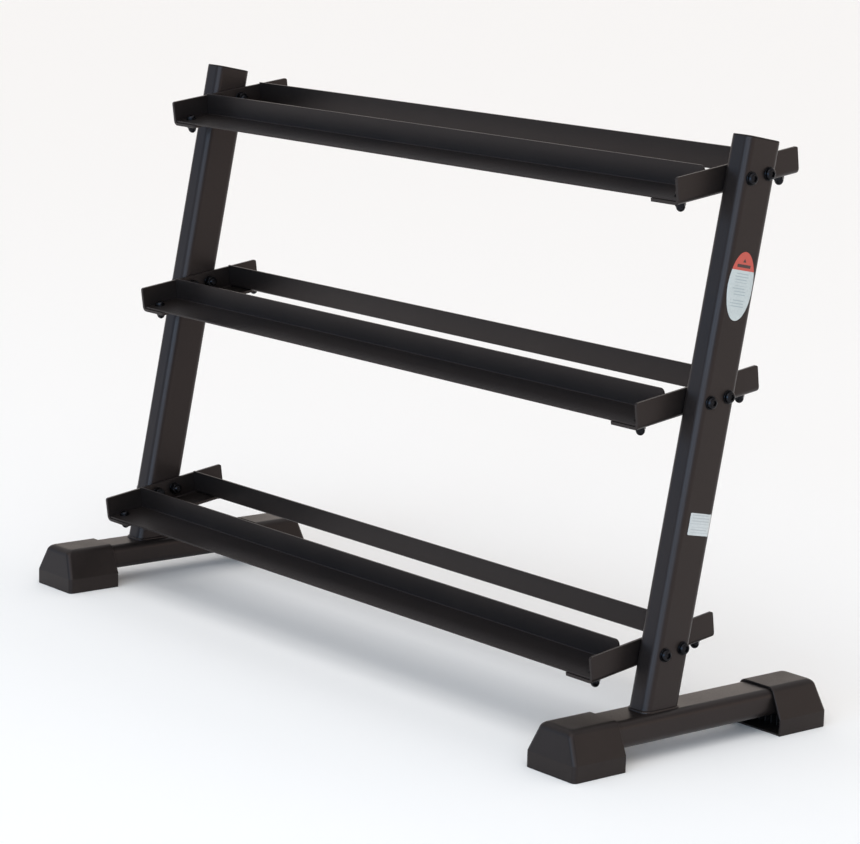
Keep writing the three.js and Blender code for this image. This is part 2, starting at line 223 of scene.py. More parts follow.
@dataclass(frozen=True)
class Surface:
    """A closed surface of rings of points, in millimetres, in an array (rings, points, 3).

    The first and last ring are closed flat, unless looped says that they join each other. On a merged
    surface the last ring folds onto itself, and points in the same place become one.
    """

    rings: Floats
    looped: bool = False
    merged: bool = False

    def faces(self, start: int) -> list[list[int]]:
        """Quads between neighbouring rings and, on a surface that isn't looped, its flat ends.

        Args:
            start: The number that its first point has in the mesh.

        Returns:
            The numbers of each face's points.
        """
        count, points = self.rings.shape[:2]
        index = start + np.arange(count * points).reshape(count, points)
        near = index if self.looped else index[:-1]
        far = np.roll(index, -1, axis=0) if self.looped else index[1:]
        quads = np.stack([near, np.roll(near, -1, 1), np.roll(far, -1, 1), far], axis=-1)
        ends = [] if self.looped else [index[0, ::-1].tolist(), index[-1].tolist()]
        ends = ends[:1] if self.merged else ends
        return quads.reshape(-1, 4).tolist() + ends


@dataclass(frozen=True)
class Outline:
    """A closed plane line with the outward direction at each point, both in arrays (..., points, 2)."""

    points: Floats
    outward: Floats

    def inset(self, depth: float | Floats) -> Floats:
        """The line moved inwards: point - depth * outward direction."""
        return self.points - np.asarray(depth)[..., None] * self.outward

    def ring(self, depth: float, height: float | Floats) -> Floats:
        """The line moved inwards, at one height or at one for each of its points (points, 3)."""
        return np.column_stack([self.inset(depth), np.broadcast_to(height, len(self.points))])


def round_corners(corners: Floats, radii: Floats, steps: int = 4) -> Outline:
    """Turns every corner of an anticlockwise polygon into an arc.

    With unit edges a into and b out of a corner and turn t = atan2(a x b, a . b), the arc touches the edge
    r tan(|t| / 2) before the corner, its centre lies r inside that point (outside, if t is negative), and
    its outward direction turns evenly from that of a to that of b.

    Args:
        corners: Polygon corners (..., corners, 2); leading axes hold many polygons at once.
        radii: A radius for each corner, of a shape that broadcasts to (..., corners).
        steps: Edges in each arc.

    Returns:
        The rounded line, steps + 1 points to a corner.
    """
    into = corners - np.roll(corners, 1, axis=-2)
    into = into / np.linalg.norm(into, axis=-1, keepdims=True)
    out = np.roll(into, -1, axis=-2)
    turn = np.arctan2(into[..., 0] * out[..., 1] - into[..., 1] * out[..., 0], (into * out).sum(-1))
    signed = (np.sign(turn) * radii)[..., None]
    outward_in = np.stack([into[..., 1], -into[..., 0]], axis=-1)
    touch = corners - into * (radii * np.tan(np.abs(turn) / 2))[..., None]
    centre = touch - signed * outward_in
    angle = np.arctan2(outward_in[..., 1], outward_in[..., 0])[..., None]
    angle = angle + turn[..., None] * np.linspace(0.0, 1.0, steps + 1)
    outward = np.stack([np.cos(angle), np.sin(angle)], axis=-1)
    points = centre[..., None, :] + signed[..., None] * outward
    shape = (*corners.shape[:-2], -1, 2)
    return Outline(points.reshape(shape), outward.reshape(shape))


def rounded_rectangle(width: float, height: float, radius: float, steps: int = 8) -> Outline:
    """A centred rectangle with four equal round corners."""
    corners = np.array([[1, -1], [1, 1], [-1, 1], [-1, -1]]) * [width / 2, height / 2]
    return round_corners(corners, np.full(4, radius), steps)


def quarter(steps: int) -> tuple[Floats, Floats]:
    """Sine and cosine of evenly spaced angles from 0 to 90 degrees."""
    angle = np.linspace(0.0, math.pi / 2, steps + 1)
    return np.sin(angle), np.cos(angle)


def corner_drop(distance: Floats, radius: float) -> Floats:
    """How far a round corner lies under its square one: r - sqrt(r^2 - (r - d)^2) at distance d < r."""
    left = np.clip(radius - distance, 0.0, radius)
    return radius - np.sqrt(radius**2 - left**2)


def new_object(name: str, data: bpy.types.ID) -> bpy.types.Object:
    """Puts a mesh, light or camera into the scene, at the origin.

    Args:
        name: The object's name.
        data: What it shows.

    Returns:
        The new object.
    """
    thing = bpy.data.objects.new(name, data)
    bpy.context.scene.collection.objects.link(thing)
    return thing


def add_object(name: str, surfaces: Sequence[Surface], axes: Axes) -> bpy.types.Object:
    """Puts closed surfaces into one mesh, in place, with outward faces and sharp edges marked.

    Args:
        name: The object's name.
        surfaces: Surfaces in the axes' own millimetres.
        axes: Where they go.

    Returns:
        The new object, at the origin.
    """
    points, faces, start = [], [], 0
    for surface in surfaces:
        points.append(axes.place(surface.rings.reshape(-1, 3)))
        faces += surface.faces(start)
        start += len(points[-1])
    mesh = bpy.data.meshes.new(name)
    mesh.from_pydata(np.concatenate(points).tolist(), [], faces)
    solid = bmesh.new()
    solid.from_mesh(mesh)
    if any(surface.merged for surface in surfaces):
        bmesh.ops.remove_doubles(solid, verts=solid.verts, dist=SAME_PLACE * MM)
    bmesh.ops.recalc_face_normals(solid, faces=solid.faces)
    solid.to_mesh(mesh)
    solid.free()
    mesh.shade_smooth()
    mesh.set_sharp_from_angle(angle=math.radians(SHARP_ANGLE))
    piece = new_object(name, mesh)
    even = piece.modifiers.new("flat_faces_stay_flat", "WEIGHTED_NORMAL")
    even.keep_sharp = True
    return piece


# ---------------------------------------------------------------- nodes and finishes

def linear(code: str) -> tuple[float, float, float, float]:
    """Turns an sRGB colour into linear light, by the sRGB curve's own two stretches.

    Args:
        code: The colour as #rrggbb.

    Returns:
        Red, green, blue and an alpha of 1.
    """
    parts = np.array([int(code[k:k + 2], 16) for k in (1, 3, 5)]) / 255.0
    light = np.where(parts <= 0.04045, parts / 12.92, ((parts + 0.055) / 1.055) ** 2.4)
    return (*light.tolist(), 1.0)


def blank_tree(owner: bpy.types.Material | bpy.types.World) -> bpy.types.NodeTree:
    """Gives a material or world an empty node tree.

    Args:
        owner: The material or world.

    Returns:
        Its tree.
    """
    owner.use_nodes = True
    owner.node_tree.nodes.clear()
    return owner.node_tree


def add_node(
        tree: bpy.types.NodeTree, kind: str, inputs: dict[str | int, object] | None = None,
        **settings: object) -> bpy.types.Node:
    """Adds a node to a tree.

    Args:
        tree: The material's or world's nodes.
        kind: The node's type name.
        inputs: For each input's name or number, a value or another node's output to link from.
        settings: Properties of the node itself.

    Returns:
        The new node.
    """
    node = tree.nodes.new(kind)
    for key, value in settings.items():
        setattr(node, key, value)
    for key, value in (inputs or {}).items():
        if isinstance(value, bpy.types.NodeSocket):
            tree.links.new(value, node.inputs[key])
        else:
            node.inputs[key].default_value = value
    return node


def per_metre(size_mm: float) -> float:
    """Scale of a noise whose blobs are about that many millimetres wide, on coordinates in metres."""
    return 1.0 / (size_mm * MM)


@dataclass(frozen=True)
class Finish:
    """A real surface finish: a named slot and a procedural material."""

    name: str
    slot: Slot
    dark: str                   # base colour where the finish is darkest
    light: str                  # and where it is lightest
    drift_mm: float             # width of the slow changes in colour and gloss
    grain_mm: float             # width of the texture that bump shows
    grain_height_mm: float
    fleck_mm: float             # width of the finest texture
    fleck_height_mm: float
    roughness: tuple[float, float]
    metallic: float = 0.0
    ior: float = 1.5
    gloss: float = 0.5          # strength of a dielectric's reflections; 0.5 is what its index gives
    tint: str = "#ffffff"       # colour of its reflections

    def material(self) -> bpy.types.Material:
        """The finish's material, made at its first use."""
        return bpy.data.materials.get(self.name) or self.build()

    def build(self) -> bpy.types.Material:
        """Slow drift in colour and gloss, and two sizes of bump, all on Object coordinates.

        Drift and grain are noises about 0.5; their sum, from 0.75 to 1.25, leads from dark to light and
        from the lower roughness to the higher.

        Returns:
            The new material.
        """
        material = bpy.data.materials.new(self.name)
        tree = blank_tree(material)
        place = add_node(tree, "ShaderNodeTexCoord").outputs["Object"]
        drift, grain, fleck = (
            add_node(
                tree, "ShaderNodeTexNoise", {"Vector": place, "Scale": per_metre(size), "Detail": detail})
            for size, detail in ((self.drift_mm, 4.0), (self.grain_mm, 2.0), (self.fleck_mm, 1.0)))
        uneven = add_node(
            tree, "ShaderNodeMath", {0: drift.outputs["Fac"], 1: grain.outputs["Fac"]}, operation="ADD")
        share = add_node(
            tree, "ShaderNodeMapRange", {"Value": uneven.outputs[0], "From Min": 0.75, "From Max": 1.25})
        colour = add_node(
            tree, "ShaderNodeMix",
            {"Factor": share.outputs["Result"], "A": linear(self.dark), "B": linear(self.light)},
            data_type="RGBA")
        gloss = add_node(
            tree, "ShaderNodeMapRange",
            {"Value": share.outputs["Result"], "To Min": self.roughness[0], "To Max": self.roughness[1]})
        waves = add_node(
            tree, "ShaderNodeBump",
            {"Height": grain.outputs["Fac"], "Strength": 1.0, "Distance": self.grain_height_mm * MM})
        grit = add_node(
            tree, "ShaderNodeBump",
            {"Height": fleck.outputs["Fac"], "Strength": 1.0, "Distance": self.fleck_height_mm * MM,
             "Normal": waves.outputs["Normal"]})
        shader = add_node(
            tree, "ShaderNodeBsdfPrincipled",
            {"Base Color": self.colour(tree, colour.outputs["Result"]), "Roughness": gloss.outputs["Result"],
             "Metallic": self.metallic, "IOR": self.ior, "Specular IOR Level": self.gloss,
             "Specular Tint": linear(self.tint), "Normal": grit.outputs["Normal"]})
        add_node(tree, "ShaderNodeOutputMaterial", {"Surface": shader.outputs["BSDF"]})
        return material

    def colour(self, tree: bpy.types.NodeTree, ground: bpy.types.NodeSocket) -> bpy.types.NodeSocket:
        """The base colour: the plain ground, unless a finish prints on it."""
        return ground


# Polyester powder, sprayed dry and baked: satin black with orange peel, waves about 2 mm wide and some
# hundredths of a millimetre high, which break up the edges of reflections. Its gloss is below what its
# index gives, and a little warm, because the film's matting wax spreads the rest of the light.
POWDER_COAT = Finish(
    "satin_black_powder_coat", Slot.POWDER, "#171413", "#1d1917", drift_mm=140.0, grain_mm=2.2,
    grain_height_mm=0.04, fleck_mm=0.7, fleck_height_mm=0.005, roughness=(0.32, 0.42), gloss=0.31,
    tint="#ffe6e0")

# Polypropylene moulded in a spark-eroded tool: matt, with a grain of about half a millimetre, drawn a
# little coarser so that it shows. Like the powder coat it reflects weakly and a little warmly.
MOULDED_PLASTIC = Finish(
    "matt_moulded_polypropylene", Slot.PLASTIC, "#161312", "#1e1a18", drift_mm=60.0, grain_mm=1.1,
    grain_height_mm=0.04, fleck_mm=0.6, fleck_height_mm=0.015, roughness=(0.36, 0.46), ior=1.49,
    gloss=0.29, tint="#ffe8e2")

# Steel blackened in hot salts and oiled: a thin dark oxide that keeps the metal's own gloss, slightly
# blotched where the oil has dried. The finest texture is drawn coarser than the oxide's, so that it shows.
BLACK_OXIDE = Finish(
    "oiled_black_oxide_steel", Slot.STEEL, "#1b1b1d", "#2b2b2e", drift_mm=6.0, grain_mm=1.4,
    grain_height_mm=0.02, fleck_mm=0.4, fleck_height_mm=0.006, roughness=(0.24, 0.38), metallic=1.0)


@dataclass(frozen=True)
class PrintedFilm(Finish):
    """Vinyl film with a printed pattern of plain bands and bars, placed by the film's own UV map.

    The map runs from 0 to 1 over the film's width and height.
    """

    width_mm: float = 49.0
    height_mm: float = 98.0
    head: str = "#b4493c"           # colour of the band at the top
    head_from_mm: float = 22.5      # where it starts, above the middle
    ink: str = "#959e9f"            # colour of the bars
    mark: str = "#3a2624"           # colour of the head's bar and triangle
    group_mm: float = 17.5          # from one group of bars to the next
    pitch_mm: float = 4.2           # from bar to bar
    bar_mm: float = 1.3             # height of a bar
    bars_from_mm: float = 1.0       # where the bars start, below the head
    bars_to_mm: float = 52.0        # where they stop
    margin_mm: float = 10.5         # left free at each side
    ragged_mm: tuple[float, float] = (5.0, 1.0)     # by which a bar may stop short or run on
    blot_mm: float = 6.0            # width of the noise that decides it
    word_mm: tuple[float, float] = (4.0, 8.5)       # the head's bar, above its lower edge
    word_share: float = 0.27        # half the bar's width, as a share of the film's
    triangle_mm: tuple[float, float] = (11.5, 17.0)  # the head's triangle, foot and tip, likewise
    triangle_slope: float = 0.6     # half its width, as a share of the way down from its tip

    def all_of(self, tree: bpy.types.NodeTree, *pairs: tuple[object, object]) -> bpy.types.NodeSocket:
        """Finds where several conditions hold together.

        Args:
            tree: The material's nodes.
            pairs: Pairs of values or outputs.

        Returns:
            1 where the second of each pair is above its first, otherwise 0.
        """
        total = None
        for low, high in pairs:
            step = add_node(tree, "ShaderNodeMath", {0: high, 1: low}, operation="GREATER_THAN").outputs[0]
            if total is not None:
                step = add_node(tree, "ShaderNodeMath", {0: total, 1: step}, operation="MULTIPLY").outputs[0]
            total = step
        return total

    def colour(self, tree: bpy.types.NodeTree, ground: bpy.types.NodeSocket) -> bpy.types.NodeSocket:
        """A head with a bar and a triangle, and groups of bars under it, their ends drawn in by a noise.

        With x off the middle and s below the head's edge, a bar shows where s mod pitch < bar, s mod
        group > pitch and |x| < half width - margin + noise; the triangle where |x| < slope (s + tip).

        Args:
            tree: The material's nodes.
            ground: The film's own colour.

        Returns:
            The printed colour.
        """
        film = add_node(tree, "ShaderNodeUVMap", uv_map="film").outputs["UV"]
        apart = add_node(tree, "ShaderNodeSeparateXYZ", {"Vector": film})
        half = self.width_mm / 2
        along = add_node(
            tree, "ShaderNodeMapRange", {"Value": apart.outputs["X"], "To Min": -half, "To Max": half})
        off = add_node(tree, "ShaderNodeMath", {0: along.outputs["Result"]}, operation="ABSOLUTE").outputs[0]
        top = self.head_from_mm + self.height_mm / 2
        below = add_node(
            tree, "ShaderNodeMapRange",
            {"Value": apart.outputs["Y"], "To Min": top, "To Max": top - self.height_mm}).outputs["Result"]
        row, group = (
            add_node(tree, "ShaderNodeMath", {0: below, 1: step}, operation="FLOORED_MODULO").outputs[0]
            for step in (self.pitch_mm, self.group_mm))
        blots = add_node(
            tree, "ShaderNodeTexNoise",
            {"Vector": film, "Scale": self.height_mm / self.blot_mm}).outputs["Fac"]
        end = half - self.margin_mm
        reach = add_node(
            tree, "ShaderNodeMapRange",
            {"Value": blots, "From Min": 0.35, "From Max": 0.65, "To Min": end - self.ragged_mm[0],
             "To Max": end + self.ragged_mm[1]}).outputs["Result"]
        bars = self.all_of(
            tree, (row, self.bar_mm), (self.pitch_mm, group), (off, reach), (self.bars_from_mm, below),
            (below, self.bars_to_mm))
        low, high = self.word_mm
        word = self.all_of(tree, (-high, below), (below, -low), (off, self.word_share * self.width_mm))
        foot, tip = self.triangle_mm
        slant = add_node(
            tree, "ShaderNodeMath", {0: below, 1: self.triangle_slope, 2: self.triangle_slope * tip},
            operation="MULTIPLY_ADD").outputs[0]
        triangle = self.all_of(tree, (off, slant), (below, -foot), (-tip, below))
        head = self.all_of(tree, (below, 0.0))
        mix = ground
        for share, code in ((bars, self.ink), (head, self.head), (word, self.mark), (triangle, self.mark)):
            mixed = add_node(
                tree, "ShaderNodeMix", {"Factor": share, "A": mix, "B": linear(code)}, data_type="RGBA")
            mix = mixed.outputs["Result"]
        return mix


# Screen-printed vinyl film: white with a red band and plain grey bars, satin.
OVAL_FILM = PrintedFilm(
    "printed_vinyl_oval", Slot.FILM, "#afb4b1", "#bbc0bc", drift_mm=25.0, grain_mm=3.0,
    grain_height_mm=0.01, fleck_mm=0.8, fleck_height_mm=0.003, roughness=(0.36, 0.46))
TAG_FILM = PrintedFilm(
    "printed_vinyl_tag", Slot.FILM, "#b6b9b6", "#c3c5c2", drift_mm=25.0, grain_mm=3.0,
    grain_height_mm=0.01, fleck_mm=0.8, fleck_height_mm=0.003, roughness=(0.36, 0.46),
    width_mm=42.0, height_mm=32.0, head_from_mm=18.0, margin_mm=2.0, ink="#a5a7a6", bars_to_mm=30.0)


def add_piece(
        name: str, surfaces: Sequence[Surface], axes: Axes, finish: Finish, *nodes: str) -> bpy.types.Object:
    """Makes a finished piece of the rack and reports it.

    Args:
        name: The piece's name.
        surfaces: Its closed surfaces, in the axes' own millimetres.
        axes: Where it goes.
        finish: What it is finished in.
        nodes: The frame nodes that it stands for.

    Returns:
        The piece.
    """
    piece = add_object(f"finished_{name}", surfaces, axes)
    piece.data.materials.append(finish.material())
    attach(piece, BODY)
    if nodes:
        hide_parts(*nodes)
    log.info("%s: %d faces, %s", name, len(piece.data.polygons), finish.name)
    return piece


# ---------------------------------------------------------------- tubes and feet

@dataclass(frozen=True)
class TubeStock:
    """The rounded steel tube that the uprights and the base are cut from."""

    width: float
    depth: float
    radius: float = 12.0
    wall: float = 2.5
    edge: float = 0.4           # rounding that paint gives a cut edge

    def outline(self) -> Outline:
        """The tube's outside, width by depth."""
        return rounded_rectangle(self.width, self.depth, self.radius)

    def length_of_tube(self, low: Floats, high: Floats) -> Surface:
        """Open tube between two cuts: out along the outside, in over the end, back along the bore.

        Args:
            low: Height of the lower cut, at each point of the outline.
            high: Height of the upper cut, likewise.

        Returns:
            A looped surface.
        """
        outline = self.outline()
        inner = self.wall - self.edge
        stops = [(0.0, low + self.edge), (0.0, high - self.edge), (self.edge, high), (inner, high),
                 (self.wall, high - self.edge), (self.wall, low + self.edge), (inner, low), (self.edge, low)]
        return Surface(np.stack([outline.ring(depth, height) for depth, height in stops]), looped=True)


def stock_of_rack() -> TubeStock:
    """Reads the tube's size off the frame: its width off an upright, its depth off a base tube.

    Returns:
        The stock that both are cut from.
    """
    upright = box_of("left_upright")
    base = box_of("left_base_tube")
    return TubeStock(width=(upright[1] - upright[0])[0] / MM, depth=(base[1] - base[0])[0] / MM)


STOCK = stock_of_rack()


@dataclass(frozen=True)
class FootCap:
    """Moulded shell over an end of a base tube: skirt, sloping sides, rounded crown, open to the tube."""

    side: Side
    end: End
    width: float
    length: float
    height: float
    skirt: float = 24.5
    wall: float = 3.0
    crown: float = 12.0         # rounding between sides and top
    crease: float = 0.9         # rounding where the slopes leave the skirt
    nose_slope: float = 0.16    # run over rise of the end wall above the skirt
    nose_side: float = 7.0      # rounding of the end wall's upright edges
    nose_top: float = 12.0      # and of its top edge
    nose_tangent: float = 0.86  # from the top's edge back to where that rounding starts, as a share of it
    shoulder: float = 2.2       # by which the flat of the top is wider than the tube's, to each side
    sole: float = 0.8           # rounding at the floor
    rim: float = 0.6            # rounding of the open edge
    arc_steps: int = 8          # edges in each rounding
    bite: float = 0.5           # by which plate and ribs run into what they stand on
    plate_edge: float = 0.4
    plate_lift: float = 0.1     # plate's underside, off the floor
    plate_back: float = 0.8     # plate's rear edge, in from the open end
    ribs: int = 5
    rib_wall: float = 2.2
    rib_corner: float = 0.9
    rib_draft: float = 0.35     # by which each face leans in, so that the rib leaves the mould
    rib_spread: float = 48.0
    rib_length: float = 60.0
    rib_top: float = 25.0

    def profile(self, half: float, ridge: float, crown: float) -> Outline:
        """One side of the cap seen along its edge: sole, skirt, crease, slope and crown.

        The slope starts at the skirt's top and ends where it touches the crown's arc, whose centre is
        crown below the top at distance ridge: with a = half - ridge and b = the arc centre's height over
        the skirt, its run over rise is (a b - crown sqrt(a^2 + b^2 - crown^2)) / (b^2 - crown^2).

        Args:
            half: Distance from the cap's middle out to its skirt.
            ridge: Distance out to where the top's flat ends.
            crown: Radius of the arc there.

        Returns:
            The line, as distance out and height, from the floor to the flat's edge.
        """
        out, rise = half - ridge, self.height - crown - self.skirt
        reach = math.sqrt(out**2 + rise**2 - crown**2)
        slope = (out * rise - crown * reach) / (rise**2 - crown**2)
        peak = half - slope * (self.height - self.skirt)
        top = self.height
        corners = np.array([[-half, 0.0], [half, 0.0], [half, self.skirt], [peak, top], [-half, top]])
        radii = np.array([self.sole, self.sole, self.crease, crown, self.sole])
        line = round_corners(corners, radii, self.arc_steps)
        arc = self.arc_steps + 1
        keep = slice(arc, 4 * arc)      # the arcs of sole, crease and crown
        return Outline(line.points[keep], line.outward[keep])

    def plan(self, half: Floats, nose: Floats, radius: Floats, side_z: Floats, nose_z: Floats) -> Floats:
        """Lines round three sides of the cap, from the open end round the nose and back to the open end.

        At turn f of the nose's upright edge of radius r, a point is at half - r (1 - cos f) across and
        nose - r (1 - sin f) along; its height goes over from the side's to the nose's with f.

        Args:
            half: Half width of each line.
            nose: How far out its nose is.
            radius: Radius of its two corners.
            side_z: Height of its sides.
            nose_z: Height of its nose.

        Returns:
            Points (lines, points, 3); each line starts and ends where its corners do.
        """
        sines, cosines = quarter(self.arc_steps)
        half, nose, radius, side_z, nose_z = (
            value[:, None] for value in (half, nose, radius, side_z, nose_z))
        across = half - radius * (1.0 - cosines)
        along = nose - radius * (1.0 - sines)
        height = side_z + (nose_z - side_z) * np.linspace(0.0, 1.0, self.arc_steps + 1)
        right = np.stack([across, along, height], axis=-1)
        return np.concatenate([right, right[:, ::-1] * [-1.0, 1.0, 1.0]], axis=1)

    def shell(self) -> Surface:
        """Outside, rim and inside as rings stacked from the floor to the ridge, where both halves meet.

        Each ring runs round the outside, over the rim, back along the inside and over the rim again. The
        crown's flat is made of rings that shrink to a line along its middle.

        Returns:
            A merged surface, open where the tube comes in and below.
        """
        half = self.width / 2
        lean = self.nose_slope * (self.height - self.skirt)
        side = self.profile(half, STOCK.depth / 2 - STOCK.radius + self.shoulder, self.crown)
        nose = self.profile(
            self.length, self.length - lean - self.nose_top * self.nose_tangent, self.nose_top)
        inner_side, inner_nose = side.inset(self.wall), nose.inset(self.wall)
        sole = side.outward[:, 1] < 0.0
        for inner, reach in ((inner_side, half), (inner_nose, self.length)):
            inner[sole] = np.column_stack([np.full(sole.sum(), reach - self.wall), side.points[sole, 1]])
        shrink = np.linspace(1.0, 0.0, 6)[1:, None]
        sheets = []
        for edge, point, radius in ((side.points, nose.points, self.nose_side),
                                    (inner_side, inner_nose, self.nose_side - self.wall)):
            flat_side = edge[-1] * np.concatenate([shrink, np.ones_like(shrink)], axis=1)
            flat_nose = point[-1] - np.concatenate([edge[-1, 0] * (1.0 - shrink), 0.0 * shrink], axis=1)
            edge, point = np.concatenate([edge, flat_side]), np.concatenate([point, flat_nose])
            radii = np.full(len(edge), radius)
            radii[-len(shrink):] *= shrink[:, 0]
            sheets.append((edge, self.plan(edge[:, 0], point[:, 0], radii, edge[:, 1], point[:, 1])))
        (outer_edge, outside), (inner_edge, inside) = sheets
        share = np.array([0.0, self.rim, self.wall - self.rim, self.wall]) / self.wall
        rim = outer_edge[:, None, :] + share[:, None] * (inner_edge - outer_edge)[:, None, :]
        along = np.broadcast_to([self.rim, 0.0, 0.0, self.rim], rim.shape[:2])
        right = np.stack([rim[..., 0], along, rim[..., 1]], axis=-1)
        left = right * [-1.0, 1.0, 1.0]
        ring = np.concatenate([outside, left, inside[:, ::-1], right[:, ::-1]], axis=1)
        return Surface(ring, merged=True)

    def sole_plate(self) -> Surface:
        """The plate that closes the cap underneath, let into its walls.

        Returns:
            A closed surface of three rings: underside, top's edge and top.
        """
        reach = self.wall - self.bite
        levels = np.array([self.plate_lift, self.wall - self.plate_edge, self.wall])
        inset = np.array([0.0, 0.0, self.plate_edge])
        half, nose = self.width / 2 - reach - inset, self.length - reach - inset
        front = self.plan(half, nose, np.full(3, self.nose_side - reach), levels, levels)
        left = np.stack([-half, self.plate_back + inset, levels], axis=-1)[:, None]
        right = left * [-1.0, 1.0, 1.0]
        return Surface(np.concatenate([front, left, right], axis=1))

    def rib(self, x: float) -> Surface:
        """An upright rib under the tube, thinner at the top so that it leaves the mould.

        Args:
            x: Its place across the cap.

        Returns:
            A closed surface of three rings: foot, top's edge and top.
        """
        edge = self.plate_edge
        foot = rounded_rectangle(self.rib_wall, self.rib_length, self.rib_corner, steps=3)
        stops = ((0.0, self.wall - self.bite), (self.rib_draft, self.rib_top - self.bite),
                 (self.rib_draft + edge, self.rib_top))
        rings = [foot.ring(inset, height) for inset, height in stops]
        middle = self.length - self.wall - self.rib_length / 2 - self.bite
        return Surface(np.stack(rings) + [x, middle, 0.0])

    def build(self) -> None:
        """Makes the cap over its end of the base tube."""
        node = f"{self.side.label}_{self.end.label}_foot_cap"
        low, high = box_of(node)
        rim = low[1] if self.end is End.REAR else high[1]
        origin = np.array([(low[0] + high[0]) / 2, rim, low[2]])
        axes = Axes(origin, X_AXIS, self.end.value * Y_AXIS, Z_AXIS)
        places = np.linspace(-0.5, 0.5, self.ribs) * self.rib_spread
        surfaces = [self.shell(), self.sole_plate(), *(self.rib(x) for x in places)]
        add_piece(node, surfaces, axes, MOULDED_PLASTIC, node)


@dataclass(frozen=True)
class Foot:
    """A base tube with its two caps."""

    side: Side

    def build(self) -> None:
        """Makes the tube, laid flat along Y, and both caps."""
        node = f"{self.side.label}_base_tube"
        low, high = box_of(node)
        middle = (low + high) / 2
        axes = Axes(np.array([middle[0], low[1], middle[2]]), -Z_AXIS, X_AXIS, Y_AXIS)
        ends = np.zeros(len(STOCK.outline().points))
        add_piece(node, [STOCK.length_of_tube(ends, ends + (high - low)[1] / MM)], axes, POWDER_COAT, node)
        for end in End:
            cap_low, cap_high = box_of(f"{self.side.label}_{end.label}_foot_cap")
            width, length, height = (cap_high - cap_low) / MM
            FootCap(self.side, end, width, length, height).build()


# ---------------------------------------------------------------- uprights

